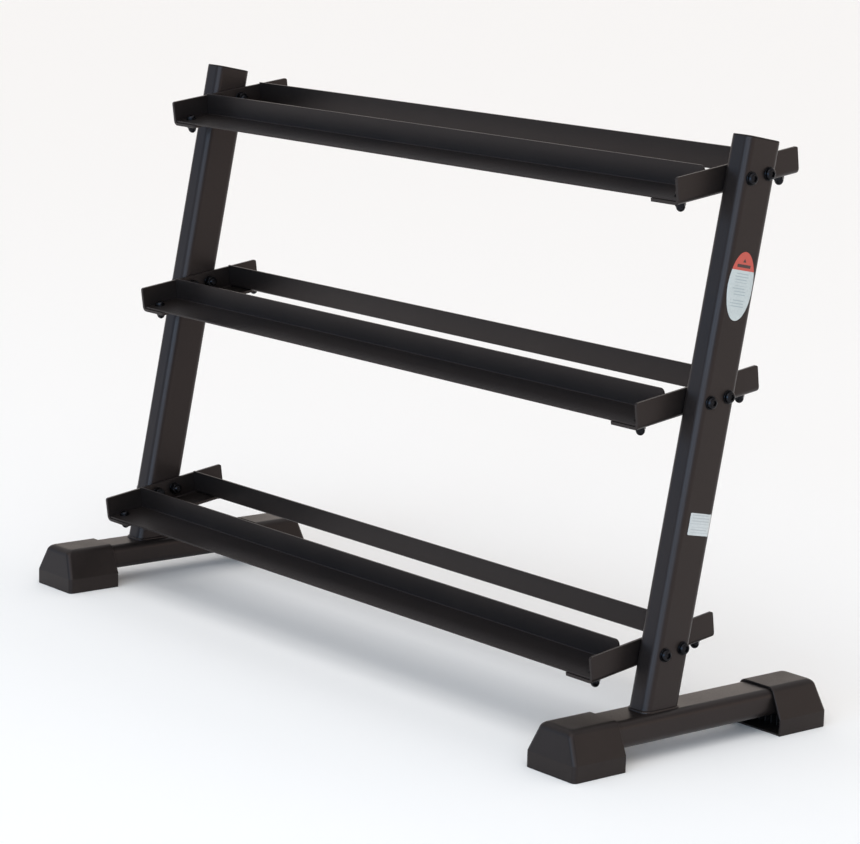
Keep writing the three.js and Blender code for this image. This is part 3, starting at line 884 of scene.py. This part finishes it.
@dataclass(frozen=True)
class Upright:
    """A leaning tube, welded to its base tube, with a plug in its open top."""

    side: Side
    seat: float = 0.2           # left under the foot for the weld to fill
    weld_leg: float = 2.5       # reach of the weld up the tube and out over the base
    weld_ripple: float = 0.2
    weld_pitch: float = 3.1     # from ripple to ripple, as the torch was moved on
    weld_sway: float = 0.25     # slow wander of its reach, and how far along one radian of it is
    weld_sway_run: float = 17.0
    weld_shake: float = 0.15    # and a quicker one
    weld_shake_run: float = 7.3
    weld_points: int = 420      # along the bead, so that each ripple shows
    weld_arc: int = 40          # edges in each corner of the line that it follows
    weld_bulge: float = 0.8     # power of its round: 1 is a circle, less is fuller
    plug_rise: float = 2.4
    plug_skirt: float = 13.0
    plug_inset: float = 2.9
    plug_edge: float = 1.5
    plug_lead: float = 0.6      # by which the spigot's end is drawn in, so that it starts in the bore
    plug_crown: float = 0.6     # rise of the lid's middle over its edge
    plug_bevel: float = 0.3     # of the lid's lower edge
    plug_play: float = 0.1      # under the lid
    plug_core: float = 0.05     # share of the lid's size at which it closes
    plug_circles: int = 7       # rings of its crown

    def axes(self) -> Axes:
        """Axes at the foot, up along the tube."""
        return LAYOUT.upright(self.side)

    def length(self) -> float:
        """Length from foot to square-cut top, whose front edge is the node's highest place.

        Returns:
            (highest place - foot - half depth * back's fall) / rise of the centre line, in millimetres.
        """
        axes = self.axes()
        top = box_of(f"{self.side.label}_upright")[1][2]
        rise = (top - axes.origin[2]) / MM - STOCK.depth / 2 * -axes.back[2]
        return rise / axes.up[2]

    def foot_height(self, depth_place: Floats) -> Floats:
        """Height along the tube of a level cut: (seat - y back_z) / up_z at each place y in its depth."""
        axes = self.axes()
        return (self.seat - depth_place * axes.back[2]) / axes.up[2]

    def build_tube(self) -> None:
        """Makes the tube between its level foot and its square top."""
        outline = STOCK.outline()
        top = np.full(len(outline.points), self.length())
        tube = STOCK.length_of_tube(self.foot_height(outline.points[:, 1]), top)
        node = f"{self.side.label}_upright"
        add_piece(node, [tube], self.axes(), POWDER_COAT, node)

    def weld(self) -> Surface:
        """Bead round the foot: a bulging fillet whose reach ripples along its length.

        Across the bead, at turn f: reach out = leg sin(f)^bulge, reach up = leg cos(f)^bulge; three more
        points bury its root in both tubes. Along it, leg = mean + ripple |sin(pi s / pitch)| + a wander of
        two sines. It follows the base tube's shoulder down where it passes the flat of its top.

        Returns:
            A looped surface, one ring for each point across the bead.
        """
        outline = rounded_rectangle(STOCK.width, STOCK.depth, STOCK.radius, self.weld_arc)
        points, outward = self.even_points(outline.points), self.even_points(outline.outward)
        outward = outward / np.linalg.norm(outward, axis=-1, keepdims=True)
        run = np.concatenate([[0.0], np.cumsum(np.linalg.norm(np.diff(points, axis=0), axis=-1))])
        leg = (self.weld_leg + self.weld_ripple * np.abs(np.sin(math.pi * run / self.weld_pitch))
               + self.weld_sway * np.sin(run / self.weld_sway_run + self.side.value)
               + self.weld_shake * np.sin(run / self.weld_shake_run))
        sines, cosines = quarter(6)
        out = np.concatenate([sines**self.weld_bulge, [0.5, -0.3, -0.3]])[:, None] * leg
        up = np.concatenate([cosines**self.weld_bulge, [-0.35, -0.35, 0.5]])[:, None] * leg
        flat = points + out[..., None] * outward
        shoulder = np.abs(flat[..., 0]) - (STOCK.depth / 2 - STOCK.radius)
        sag = corner_drop(STOCK.radius - np.clip(shoulder, 0.0, STOCK.radius), STOCK.radius)
        height = self.foot_height(flat[..., 1]) + up - sag * np.clip(1.0 - up / leg, 0.0, 1.0)
        return Surface(np.concatenate([flat, height[..., None]], axis=-1), looped=True)

    def even_points(self, values: Floats) -> Floats:
        """Reads values off at even steps of the way round the tube's outline.

        Args:
            values: One row for each point of the outline.

        Returns:
            One row for each point along the weld.
        """
        line = rounded_rectangle(STOCK.width, STOCK.depth, STOCK.radius, self.weld_arc).points
        steps = np.linalg.norm(np.roll(line, -1, axis=0) - line, axis=-1)
        run = np.concatenate([[0.0], np.cumsum(steps)])
        wanted = np.linspace(0.0, run[-1], self.weld_points, endpoint=False)
        closed = np.concatenate([values, values[:1]])
        return np.stack([np.interp(wanted, run, closed[:, k]) for k in range(values.shape[1])], axis=-1)

    def plug(self) -> Surface:
        """Lid with a soft edge and a slight crown, on a spigot that grips the bore.

        Past its edge, where a share s of the way from the middle is left, the lid rises as crown (1 - s^2).

        Returns:
            A closed surface of rings from the spigot's end to the lid's middle.
        """
        outline = STOCK.outline()
        sines, cosines = quarter(5)
        grip, bevel = self.plug_inset, self.plug_bevel
        inset = np.concatenate([
            [grip + self.plug_lead, grip, grip, bevel, 0.0], self.plug_edge * (1.0 - cosines[1:])])
        height = np.concatenate([
            [-self.plug_skirt, 1.0 - self.plug_skirt, 0.0, 0.0, bevel],
            self.plug_rise - self.plug_edge - self.plug_crown + self.plug_edge * sines[1:]])
        rings = np.stack([outline.ring(*stop) for stop in zip(inset, height)])
        rim = rings[-1]
        share = np.linspace(1.0, self.plug_core, self.plug_circles)[1:, None, None]
        rise = rim[0, 2] + self.plug_crown * (1.0 - share**2)
        crown = rim * [1.0, 1.0, 0.0] * share + [0.0, 0.0, 1.0] * rise
        return Surface(np.concatenate([rings, crown]))

    def build(self) -> None:
        """Makes tube, weld and plug."""
        self.build_tube()
        add_piece(f"{self.side.label}_weld", [self.weld()], self.axes(), POWDER_COAT)
        node = f"{self.side.label}_upright_plug"
        top = self.axes().moved(z=self.length() + self.plug_play)
        add_piece(node, [self.plug()], top, MOULDED_PLASTIC, node)


# ---------------------------------------------------------------- angles: brackets and rails

@dataclass(frozen=True)
class Angle:
    """Bent strip of L section: a foot along +x and a wall up +y of the section, from a common corner."""

    wall: float
    bend: float                 # inner radius of the bend
    edge: float
    inset: float = 0.8          # of its edges' rounding, by which an end face is smaller than the section
    outer_limit: float = 0.8    # most of the rise that the bend's outer radius may take

    def sections(self, foot: Floats, rise: Floats) -> tuple[Outline, Floats]:
        """The section where foot and rise have the given reaches.

        Where the rise is cut down to the foot, the bend's radii shrink with what is left of it.

        Args:
            foot: The foot's reach, for each section.
            rise: The wall's reach, for each section.

        Returns:
            The sections, and how far each of their points can move in without crossing another.
        """
        zero = np.zeros_like(foot)
        thick = np.full_like(foot, self.wall)
        corners = np.stack([
            np.stack([zero, foot, foot, thick, thick, zero], axis=-1),
            np.stack([zero, zero, thick, thick, rise, rise], axis=-1)], axis=-1)
        standing = np.clip((rise - self.wall) / (2.0 * self.bend), 0.05, 1.0)
        outer = np.minimum(self.bend + self.wall, self.outer_limit * rise)
        edge = np.full_like(foot, self.edge)
        radii = np.stack([outer, edge, edge, self.bend * standing, edge * standing, edge * standing], axis=-1)
        return round_corners(corners, radii, steps=5), np.repeat(np.minimum(radii, self.edge), 6, axis=-1)

    def swept(self, along: Floats, foot: Floats, rise: Floats) -> Surface:
        """The angle along its length, with the end faces' edges taken off.

        Args:
            along: Stations along the length.
            foot: The foot's reach at each station.
            rise: The wall's reach at each station.

        Returns:
            A surface with the length along x, the foot along y and the wall along z.
        """
        outline, room = self.sections(foot, rise)
        room[1:-1] = 0.0
        flat = outline.inset(self.inset * room)
        length = np.broadcast_to(along[:, None, None], (*flat.shape[:2], 1))
        return Surface(np.concatenate([length, flat], axis=-1))


def end_stations(radius: float, edge: float) -> Floats:
    """Distances from a square end that draw its round corner: r (1 - cos f), with one for its edge."""
    _, cosines = quarter(8)
    return np.unique(np.concatenate([[0.0, edge], edge + (radius - edge) * (1.0 - cosines)]))


@dataclass(frozen=True)
class ButtonHead:
    """Domed screw head with a hexagon socket, on a washer."""

    head: float
    rise: float
    washer: float
    washer_wall: float
    socket: float = 0.45        # socket across flats, as a share of the head
    socket_depth: float = 2.4
    drill_point: float = 0.4    # depth of the cone at the socket's floor
    drill_tip: float = 0.3      # radius of the ring that closes it
    lead: float = 0.25          # chamfer at the socket's mouth
    crown: float = 0.5          # flat of the dome, as a share of the head
    shoulder: float = 0.25      # straight side under the dome, as a share of the rise


@dataclass
class Turning:
    """A body made ring by ring round its own axis, each ring a radius for every one of its points."""

    points: int = 72
    edge: float = 0.3           # taken off the edges of washers and heads
    rings: list[Floats] = field(default_factory=list)

    @property
    def angles(self) -> Floats:
        """Even angles round the axis, with a point at each of a hexagon's corners."""
        return np.arange(self.points) * (2.0 * math.pi / self.points)

    def hexagon(self, across: float) -> Floats:
        """Radius of a hexagon at every angle a: half its width / cos(a mod 60 - 30 degrees)."""
        sixth = math.pi / 3
        return across / 2 / np.cos(np.mod(self.angles, sixth) - sixth / 2)

    def ring(self, height: float | Floats, radius: float | Floats) -> "Turning":
        """Adds a ring.

        Args:
            height: Its height, or one for each of its points.
            radius: Its radius, likewise.

        Returns:
            The turning itself, as each method here does, so that calls can follow each other.
        """
        height, radius = (np.broadcast_to(value, self.points) for value in (height, radius))
        across, back = radius * np.cos(self.angles), radius * np.sin(self.angles)
        self.rings.append(np.column_stack([across, back, height]))
        return self

    def disc(self, low: float, high: float, radius: float) -> "Turning":
        """Adds a disc with its two edges taken off.

        Args:
            low: Height of its underside.
            high: Height of its top.
            radius: Its radius.

        Returns:
            The turning itself.
        """
        inner, edge = radius - self.edge, self.edge
        return self.ring(low, inner).ring(low + edge, radius).ring(high - edge, radius).ring(high, inner)

    def nut(self, low: float, high: float, across: float) -> "Turning":
        """Adds a hexagon chamfered at both ends: min(hexagon, 0.95 of its inner radius + sqrt(3) depth).

        Args:
            low: Height of its underside.
            high: Height of its top.
            across: Its width across flats.

        Returns:
            The turning itself.
        """
        depths = np.linspace(0.0, 0.14 * across / 2, 5)
        for height, depth in [*((low + d, d) for d in depths), *((high - d, d) for d in depths[::-1])]:
            self.ring(height, np.minimum(self.hexagon(across), 0.95 * across / 2 + math.sqrt(3.0) * depth))
        return self

    def thread(self, low: float, high: float, radius: float, pitch: float) -> "Turning":
        """Adds a screw thread: radius - 0.6 pitch |2 frac(z / pitch + a / 360) - 1|, a being the angle.

        Args:
            low: Height where it starts.
            high: Height where it ends.
            radius: Radius of its crests.
            pitch: Its pitch.

        Returns:
            The turning itself.
        """
        for height in np.arange(low, high, pitch / 6):
            turn = np.mod(height / pitch + self.angles / (2 * math.pi), 1.0)
            self.ring(height, radius - 0.6 * pitch * np.abs(2.0 * turn - 1.0))
        return self

    def button(self, shape: ButtonHead) -> "Turning":
        """Adds washer, dome and socket. The dome is a quarter ellipse from its shoulder to the flat crown.

        Args:
            shape: The head's sizes.

        Returns:
            The turning itself.
        """
        seat, outer, crown = shape.washer_wall, shape.head / 2, shape.crown * shape.head / 2
        shoulder, top = seat + shape.shoulder * shape.rise, seat + shape.rise
        across = shape.socket * shape.head
        floor = top - shape.socket_depth
        self.disc(0.0, seat, shape.washer / 2).ring(seat, outer - self.edge).ring(seat + self.edge, outer)
        for sine, cosine in zip(*quarter(8)):
            self.ring(shoulder + (top - shoulder) * sine, crown + (outer - crown) * cosine)
        self.ring(top, across / math.sqrt(3.0) + shape.lead).ring(top - shape.lead, self.hexagon(across))
        self.ring(floor, self.hexagon(across))
        return self.ring(floor - shape.drill_point, shape.drill_tip)

    def surface(self, looped: bool = False) -> Surface:
        """The rings as a surface."""
        return Surface(np.stack(self.rings), looped)


@dataclass(frozen=True)
class UprightBolt:
    """M10 bolt through an upright and a bracket's web, and the nut and washer on its end."""

    shank: float = 10.0
    pitch: float = 1.5
    grip: float = 46.3          # tube and web
    washer: float = 20.0
    washer_wall: float = 2.0
    nut_across: float = 17.0
    nut_rise: float = 8.0
    tail: float = 3.0           # thread that shows past the nut
    play: float = 0.3
    head: float = 17.5
    head_rise: float = 5.2
    bore_lead: float = 0.6      # chamfer at the nut's bore
    tip_in: float = 1.2         # by which the tail's end is thinner, to each side
    root_in: float = 0.8        # and its edge, from which the thread starts
    run_out: float = 1.0        # from the thread's end to the full shank

    def bolt(self) -> Surface:
        """Threaded tail, shank and head, whose seat is z = 0.

        Returns:
            A closed surface of rings from the tail's tip to the head's socket.
        """
        radius = self.shank / 2
        tip = -(self.grip + 2 * self.play + self.washer_wall + self.nut_rise + self.tail)
        end = tip + self.tail + self.pitch
        turning = Turning().ring(tip, radius - self.tip_in).ring(tip + 0.4, radius - self.root_in)
        turning.thread(tip + 0.5, end, radius, self.pitch).ring(end + self.run_out, radius).ring(0.0, radius)
        return turning.button(ButtonHead(self.head, self.head_rise, self.washer, self.washer_wall)).surface()

    def nut(self) -> Surface:
        """Washer and hexagon nut round a bore, seat at z = 0.

        Returns:
            A looped surface.
        """
        bore, top = self.shank / 2 + self.play / 2, self.washer_wall + self.nut_rise
        turning = Turning().ring(0.0, bore).disc(0.0, self.washer_wall, self.washer / 2)
        turning.nut(self.washer_wall, top, self.nut_across)
        return turning.ring(top, bore + self.bore_lead).ring(top - self.bore_lead, bore).surface(looped=True)


@dataclass(frozen=True)
class RailBolt:
    """M8 bolt down through a rail and a bracket's flange, into a domed cap nut."""

    shank: float = 8.0
    grip: float = 8.3
    washer: float = 17.0
    washer_wall: float = 1.6
    nut_across: float = 14.0
    nut_rise: float = 4.6
    dome: float = 8.2
    dome_share: float = 0.49    # the dome's radius, as a share of the nut's width
    dome_tip: float = 0.3       # radius of the ring that closes it
    dome_lift: float = 0.02     # keeps its last ring off the nut's first
    play: float = 0.3
    head: float = 14.0
    head_rise: float = 4.4

    def surface(self) -> Surface:
        """Dome and hexagon of the cap nut, its washer, the shank and the head, whose seat is z = 0.

        Returns:
            A closed surface of rings from the dome's tip to the head's socket.
        """
        washer_top = -self.grip - 2 * self.play
        seat = washer_top - self.washer_wall
        bottom = seat - self.nut_rise
        spread = self.dome_share * self.nut_across - self.dome_tip
        turning = Turning()
        for sine, cosine in zip(*quarter(8)):
            height = bottom - self.dome * max(cosine, 0.0) + self.dome_lift
            turning.ring(height, self.dome_tip + spread * sine)
        turning.nut(bottom, seat, self.nut_across).disc(seat, washer_top, self.washer / 2)
        turning.ring(washer_top, self.shank / 2).ring(0.0, self.shank / 2)
        return turning.button(ButtonHead(self.head, self.head_rise, self.washer, self.washer_wall)).surface()


@dataclass(frozen=True)
class Bracket:
    """Angle bolted to the inner face of an upright, with all its bolts and nuts."""

    side: Side
    tier: int
    length: float = 240.0
    web: float = 40.0
    flange: float = 59.0
    wall: float = 5.0
    bend: float = 3.0           # inner radius between web and flange
    edge: float = 0.6
    corner: float = 4.0
    bolt_rise: float = 23.5     # from the flange's underside up to the bolts
    rail_wall: float = 3.0
    bolt_in: float = 20.0       # rail bolts, in from the web's outer face
    bolt_from_end: float = 22.0
    gap: float = 0.3            # left between solids that touch; bolts start halfway across it

    def angle(self) -> Surface:
        """The bent plate, with round corners at both ends of web and flange.

        Returns:
            A closed surface, as long as the bracket along y and with the bolts' line at z = 0.
        """
        near = end_stations(self.corner, self.edge)
        along = np.concatenate([near, self.length - near[::-1]])
        to_end = np.minimum(along, self.length - along)
        shape = Angle(self.wall, self.bend, self.edge)
        drop = corner_drop(to_end, self.corner)
        swept = shape.swept(along - self.length / 2, self.flange - drop, self.web - drop)
        return Surface(swept.rings[..., [1, 0, 2]] - [0.0, 0.0, self.bolt_rise])

    def build(self) -> None:
        """Makes the plate and its four bolts and two nuts."""
        name = f"{self.side.label}_tier{self.tier}"
        shelf = LAYOUT.shelf(self.side, self.tier)
        inwards = -self.side.value
        face, half_gap = STOCK.width / 2 + self.gap, self.gap / 2
        node = f"{name}_bracket"
        add_piece(node, [self.angle()], shelf.moved(x=inwards * face).flipped(inwards), POWDER_COAT, node)
        through, rail_bolt = UprightBolt(), RailBolt()
        front, rear = (centre_of(f"{name}_{end.label}_upright_bolt") for end in End)
        pitch = np.linalg.norm(front - rear) / MM
        for end in End:
            bolted = shelf.moved(x=-inwards * (face - half_gap), y=end.value * pitch / 2)
            nutted = shelf.moved(x=inwards * (face + self.wall + half_gap), y=end.value * pitch / 2)
            screwed = shelf.moved(
                x=inwards * (face + self.bolt_in), y=end.value * (self.length / 2 - self.bolt_from_end),
                z=-self.bolt_rise + self.wall + self.gap + self.rail_wall + half_gap)
            for kind, surface, axes in (("upright_bolt", through.bolt(), bolted.facing(-inwards)),
                                        ("upright_nut", through.nut(), nutted.facing(inwards)),
                                        ("rail_bolt", rail_bolt.surface(), screwed)):
                node = f"{name}_{end.label}_{kind}"
                add_piece(node, [surface], axes, BLACK_OXIDE, node)


@dataclass(frozen=True)
class Rail:
    """Folded strip the length of the rack: its leg carries the heads and its lip holds them apart."""

    tier: int
    end: End
    lip: float = 37.5
    front_leg: float = 69.0
    rear_leg: float = 58.0
    wall: float = 3.0
    bend: float = 1.0           # inner radius between leg and lip
    edge: float = 0.5
    lip_corner: float = 7.0
    lip_stop: float = 12.0      # by which a front rail's lip ends short of the right bracket
    lip_trace: float = 0.05     # what is left of it there, so that the section keeps its corners
    set_back: float = 2.0       # from the bracket's end to the leg's edge
    bracket_length: float = 240.0
    seat: float = -18.2         # underside of the leg, from the bolts' height

    def lengthwise(self, half: float) -> tuple[Floats, Floats]:
        """Stations along the rail and the lip's height at each.

        The lip is square on the left and ends on a round corner on the right. Where a front rail's lip
        stops short of its right end, the leg runs on alone.

        Args:
            half: Half the rail's length.

        Returns:
            The stations, and the lip's height over the leg's underside at each.
        """
        near = end_stations(self.lip_corner, self.edge)
        stop = self.lip_stop if self.end is End.FRONT else 0.0
        along = np.concatenate([[-half, self.edge - half], half - stop - near[::-1]])
        rise = np.concatenate([[self.lip] * 2, self.lip - corner_drop(near, self.lip_corner)[::-1]])
        if stop:
            along = np.concatenate([along, [half - stop, half - self.edge, half]])
            rise = np.concatenate([rise, np.full(3, self.wall + self.lip_trace)])
        return along, rise

    def build(self) -> None:
        """Makes the rail between the webs of its two brackets."""
        node = f"tier{self.tier}_{self.end.label}_rail"
        low, high = box_of(node)
        leg = self.front_leg if self.end is End.FRONT else self.rear_leg
        along, rise = self.lengthwise((high - low)[0] / 2 / MM)
        shape = Angle(self.wall, self.bend, self.edge)
        swept = shape.swept(along, np.full(len(along), leg), rise)
        outer = self.end.value * (self.bracket_length / 2 - self.set_back)
        axes = LAYOUT.mid_shelf(self.tier).moved(y=outer - self.end.value * leg, z=self.seat)
        outwards = Axes(axes.origin, axes.across, self.end.value * axes.back, axes.up)
        add_piece(node, [swept], outwards, POWDER_COAT, node)


# ---------------------------------------------------------------- labels

@dataclass(frozen=True)
class Label:
    """Thin film on the right upright's outer face, bent over the tube's rounded edges where it meets them."""

    node: str
    finish: PrintedFilm
    corner: float
    thickness: float = 0.25
    glue: float = 0.05          # between the film and the paint
    core: float = 0.04          # share of the film's size at which its faces close
    circles: int = 13           # rings on each face, so that it can bend

    def outline(self) -> Outline:
        """The film's edge: a rounded rectangle, or an ellipse where the corner is 0.

        Returns:
            The line, with the film's middle at 0.
        """
        width, height = self.finish.width_mm, self.finish.height_mm
        if self.corner:
            return rounded_rectangle(width, height, self.corner, steps=10)
        angle = np.linspace(0.0, 2 * math.pi, 96, endpoint=False)
        circle = np.stack([np.cos(angle), np.sin(angle)], axis=-1)
        outward = circle / [width / 2, height / 2]
        outward = outward / np.linalg.norm(outward, axis=-1, keepdims=True)
        return Outline(circle * [width / 2, height / 2], outward)

    def surface(self, off_middle: float) -> Surface:
        """Back, edge and front of the film, shrunk to its middle on both faces.

        Over the tube's rounded edge the film drops by r - sqrt(r^2 - d^2), d being how far it is past the
        flat.

        Args:
            off_middle: How far towards the rear the film's middle is from the tube's.

        Returns:
            A closed surface.
        """
        outline = self.outline()
        share = np.linspace(self.core, 1.0, self.circles)[:, None, None]
        flat = outline.points * share
        back = np.concatenate([flat, np.zeros((*flat.shape[:2], 1))], axis=-1)
        front = np.concatenate([flat, np.full((*flat.shape[:2], 1), self.thickness)], axis=-1)
        front[-1, :, :2] = outline.inset(self.thickness / 2)
        rings = np.concatenate([back, front[::-1]])
        past = np.abs(rings[..., 0] + off_middle) - (STOCK.depth / 2 - STOCK.radius)
        rings[..., 2] -= corner_drop(STOCK.radius - np.clip(past, 0.0, STOCK.radius), STOCK.radius)
        return Surface(rings)

    def map_film(self, piece: bpy.types.Object, middle: Floats, axes: Axes) -> None:
        """Gives the mesh a UV map that runs from 0 to 1 over the film's width and height.

        Args:
            piece: The finished film.
            middle: Its middle, in metres.
            axes: The upright's axes, along which the film lies.
        """
        mesh = piece.data
        points = np.zeros(len(mesh.vertices) * 3)
        mesh.vertices.foreach_get("co", points)
        corners = np.zeros(len(mesh.loops), dtype=np.int32)
        mesh.loops.foreach_get("vertex_index", corners)
        away = (points.reshape(-1, 3)[corners] - middle) / MM
        size = np.array([self.finish.width_mm, self.finish.height_mm])
        places = np.stack([away @ axes.back, away @ axes.up], axis=-1) / size + 0.5
        mesh.uv_layers.new(name="film").data.foreach_set("uv", places.ravel())

    def build(self) -> None:
        """Makes the film on the tube's face, where the frame has it."""
        upright = LAYOUT.upright(Side.RIGHT)
        middle = centre_of(self.node)
        off = (middle - upright.origin) / MM
        towards_rear = float(off @ upright.back)
        axes = upright.moved(x=STOCK.width / 2 + self.glue, y=towards_rear, z=float(off @ upright.up))
        piece = add_piece(self.node, [self.surface(towards_rear)], axes.facing(1.0), self.finish, self.node)
        self.map_film(piece, axes.origin, upright)


# ---------------------------------------------------------------- studio

@dataclass(frozen=True)
class Softbox:
    """An oblong area light; its power follows from how bright its face looks."""

    name: str
    place: tuple[float, float, float]
    target: tuple[float, float, float]
    size: tuple[float, float]
    radiance: float             # watts from a square metre into a steradian
    colour: str

    def build(self) -> None:
        """Adds the light, facing its target."""
        light = bpy.data.lights.new(self.name, "AREA")
        light.shape = "RECTANGLE"
        light.size, light.size_y = self.size
        light.energy = self.radiance * math.pi * self.size[0] * self.size[1]
        light.color = linear(self.colour)[:3]
        lamp = new_object(self.name, light)
        lamp.location = self.place
        lamp.rotation_euler = (Vector(self.target) - Vector(self.place)).to_track_quat("-Z", "Y").to_euler()


@dataclass(frozen=True)
class Studio:
    """Pale floor without an edge, soft light and the camera."""

    floor_half: float = 80.0            # metres; reaches past the camera's horizon
    floor_colour: str = "#faf7f3"
    floor_drift: float = 0.9            # metres between the floor's faint changes in gloss
    floor_roughness: tuple[float, float] = (0.7, 0.8)
    sky_behind: str = "#fff3e9"         # the pale surroundings behind the rack
    sky_before: str = "#7f90ad"         # the dimmer room in front of it
    sky_above: str = "#a3a5a9"          # and the ceiling
    sky_strength: float = 1.25
    overhead: float = 0.85              # strength of the light from straight above
    overhead_angle: float = 90.0        # degrees across, so that shadows are soft
    fill: float = 0.95                  # strength of the light from over the camera's shoulder
    fill_angle: float = 65.0
    fill_tilt: tuple[float, float] = (38.0, 38.0)   # degrees from the vertical, to the front and the right
    window_colour: str = "#aedaff"      # cool daylight from behind the camera
    window_radiance: float = 5.6
    window_size: tuple[float, float] = (3.3, 2.3)
    window_target: tuple[float, float, float] = (0.6, -0.1, 0.6)
    window_height: float = 1.3
    camera_place: tuple[float, float, float] = (3.6693, -3.0062, 1.2877)
    camera_yaw: float = 50.269          # degrees from looking along +Y, to the left
    camera_pitch: float = 10.959        # degrees down
    camera_roll: float = 1.631
    lens: float = 128.77
    sensor: float = 36.0                # width, in millimetres like the lens

    def build_floor(self) -> None:
        """A floor at the feet's height, as wide as the camera can see, of matt paper that mirrors nothing."""
        half, z = self.floor_half, CAD_BOX[0][2]
        mesh = bpy.data.meshes.new("floor")
        corners = [(x * half, y * half, z) for x, y in ((-1, -1), (1, -1), (1, 1), (-1, 1))]
        mesh.from_pydata(corners, [], [(0, 1, 2, 3)])
        floor = new_object("floor", mesh)
        material = bpy.data.materials.new("pale_studio_paper")
        tree = blank_tree(material)
        place = add_node(tree, "ShaderNodeTexCoord").outputs["Object"]
        drift = add_node(tree, "ShaderNodeTexNoise", {"Vector": place, "Scale": 1.0 / self.floor_drift})
        low, high = self.floor_roughness
        gloss = add_node(
            tree, "ShaderNodeMapRange", {"Value": drift.outputs["Fac"], "To Min": low, "To Max": high})
        shader = add_node(
            tree, "ShaderNodeBsdfPrincipled",
            {"Base Color": linear(self.floor_colour), "Roughness": gloss.outputs["Result"], "IOR": 1.0})
        add_node(tree, "ShaderNodeOutputMaterial", {"Surface": shader.outputs["BSDF"]})
        mesh.materials.append(material)

    def build_sky(self) -> None:
        """Surroundings that are pale low down behind the rack, dimmer in front of it and above.

        One colour passes into the next where a part of the direction's unit vector goes from start to full.
        """
        world = bpy.data.worlds.new("studio")
        tree = blank_tree(world)
        direction = add_node(tree, "ShaderNodeTexCoord").outputs["Generated"]
        apart = add_node(tree, "ShaderNodeSeparateXYZ", {"Vector": direction})
        colour = linear(self.sky_behind)
        stops = (("Y", 0.15, -0.55, self.sky_before), ("Z", 0.22, 0.5, self.sky_above))
        for part, start, full, code in stops:
            share = add_node(
                tree, "ShaderNodeMapRange",
                {"Value": apart.outputs[part], "From Min": start, "From Max": full},
                interpolation_type="SMOOTHSTEP").outputs["Result"]
            colour = add_node(
                tree, "ShaderNodeMix", {"Factor": share, "A": colour, "B": linear(code)},
                data_type="RGBA").outputs["Result"]
        glow = add_node(tree, "ShaderNodeBackground", {"Color": colour, "Strength": self.sky_strength})
        add_node(tree, "ShaderNodeOutputWorld", {"Surface": glow.outputs["Background"]})
        bpy.context.scene.world = world

    def add_sun(self, name: str, strength: float, across: float, tilt: tuple[float, float]) -> None:
        """Adds a wide distant light.

        Args:
            name: Its name.
            strength: Its strength, in watts a square metre.
            across: Its width, in degrees.
            tilt: Degrees by which it stands off the vertical, to the front and to the right.
        """
        light = bpy.data.lights.new(name, "SUN")
        light.energy = strength
        light.angle = math.radians(across)
        front, right = (math.tan(math.radians(angle)) for angle in tilt)
        lamp = new_object(name, light)
        lamp.rotation_euler = Vector((-right, front, -1.0)).to_track_quat("-Z", "Y").to_euler()

    def build_lights(self) -> None:
        """Two distant lights, and windows before the rack that draw a cool line on its round corners."""
        self.add_sun("overhead", self.overhead, self.overhead_angle, (0.0, 0.0))
        self.add_sun("fill", self.fill, self.fill_angle, self.fill_tilt)
        for name, x, y, share in (
                ("right_window", 5.4, -4.9, 1.0), ("middle_window", 1.7, -6.0, 1.0),
                ("left_window", -3.4, -4.2, 0.13)):
            Softbox(name, (x, y, self.window_height), self.window_target, self.window_size,
                    share * self.window_radiance, self.window_colour).build()

    def build_camera(self) -> None:
        """The camera: its directions come from yaw, pitch and roll, in that order."""
        yaw, pitch, roll = (math.radians(a) for a in (self.camera_yaw, self.camera_pitch, self.camera_roll))
        level = Vector((math.cos(yaw), math.sin(yaw), 0.0))
        run = math.cos(pitch)
        forward = Vector((-math.sin(yaw) * run, math.cos(yaw) * run, -math.sin(pitch)))
        above = level.cross(forward)
        right = level * math.cos(roll) + above * math.sin(roll)
        up = above * math.cos(roll) - level * math.sin(roll)
        data = bpy.data.cameras.new("camera")
        data.sensor_width = self.sensor
        data.lens = self.lens
        data.clip_end = 3.0 * self.floor_half
        camera = new_object("camera", data)
        turn = Matrix((right, up, -forward)).transposed()
        camera.matrix_world = Matrix.Translation(self.camera_place) @ turn.to_4x4()
        bpy.context.scene.camera = camera

    def build(self) -> None:
        """Makes camera, floor, surroundings and lights."""
        self.build_camera()
        self.build_floor()
        self.build_sky()
        self.build_lights()
        bpy.context.scene.view_settings.view_transform = "Standard"


def main() -> None:
    """Builds the studio, then the rack from its feet up."""
    logging.basicConfig(level=logging.INFO, format="%(name)s: %(message)s")
    Studio().build()
    for side in Side:
        Foot(side).build()
        Upright(side).build()
        for tier in TIERS:
            Bracket(side, tier).build()
    for tier in TIERS:
        for end in End:
            Rail(tier, end).build()
    Label("oval_label", OVAL_FILM, corner=0.0).build()
    Label("square_tag", TAG_FILM, corner=2.0).build()


if __name__ == "__main__":
    main()
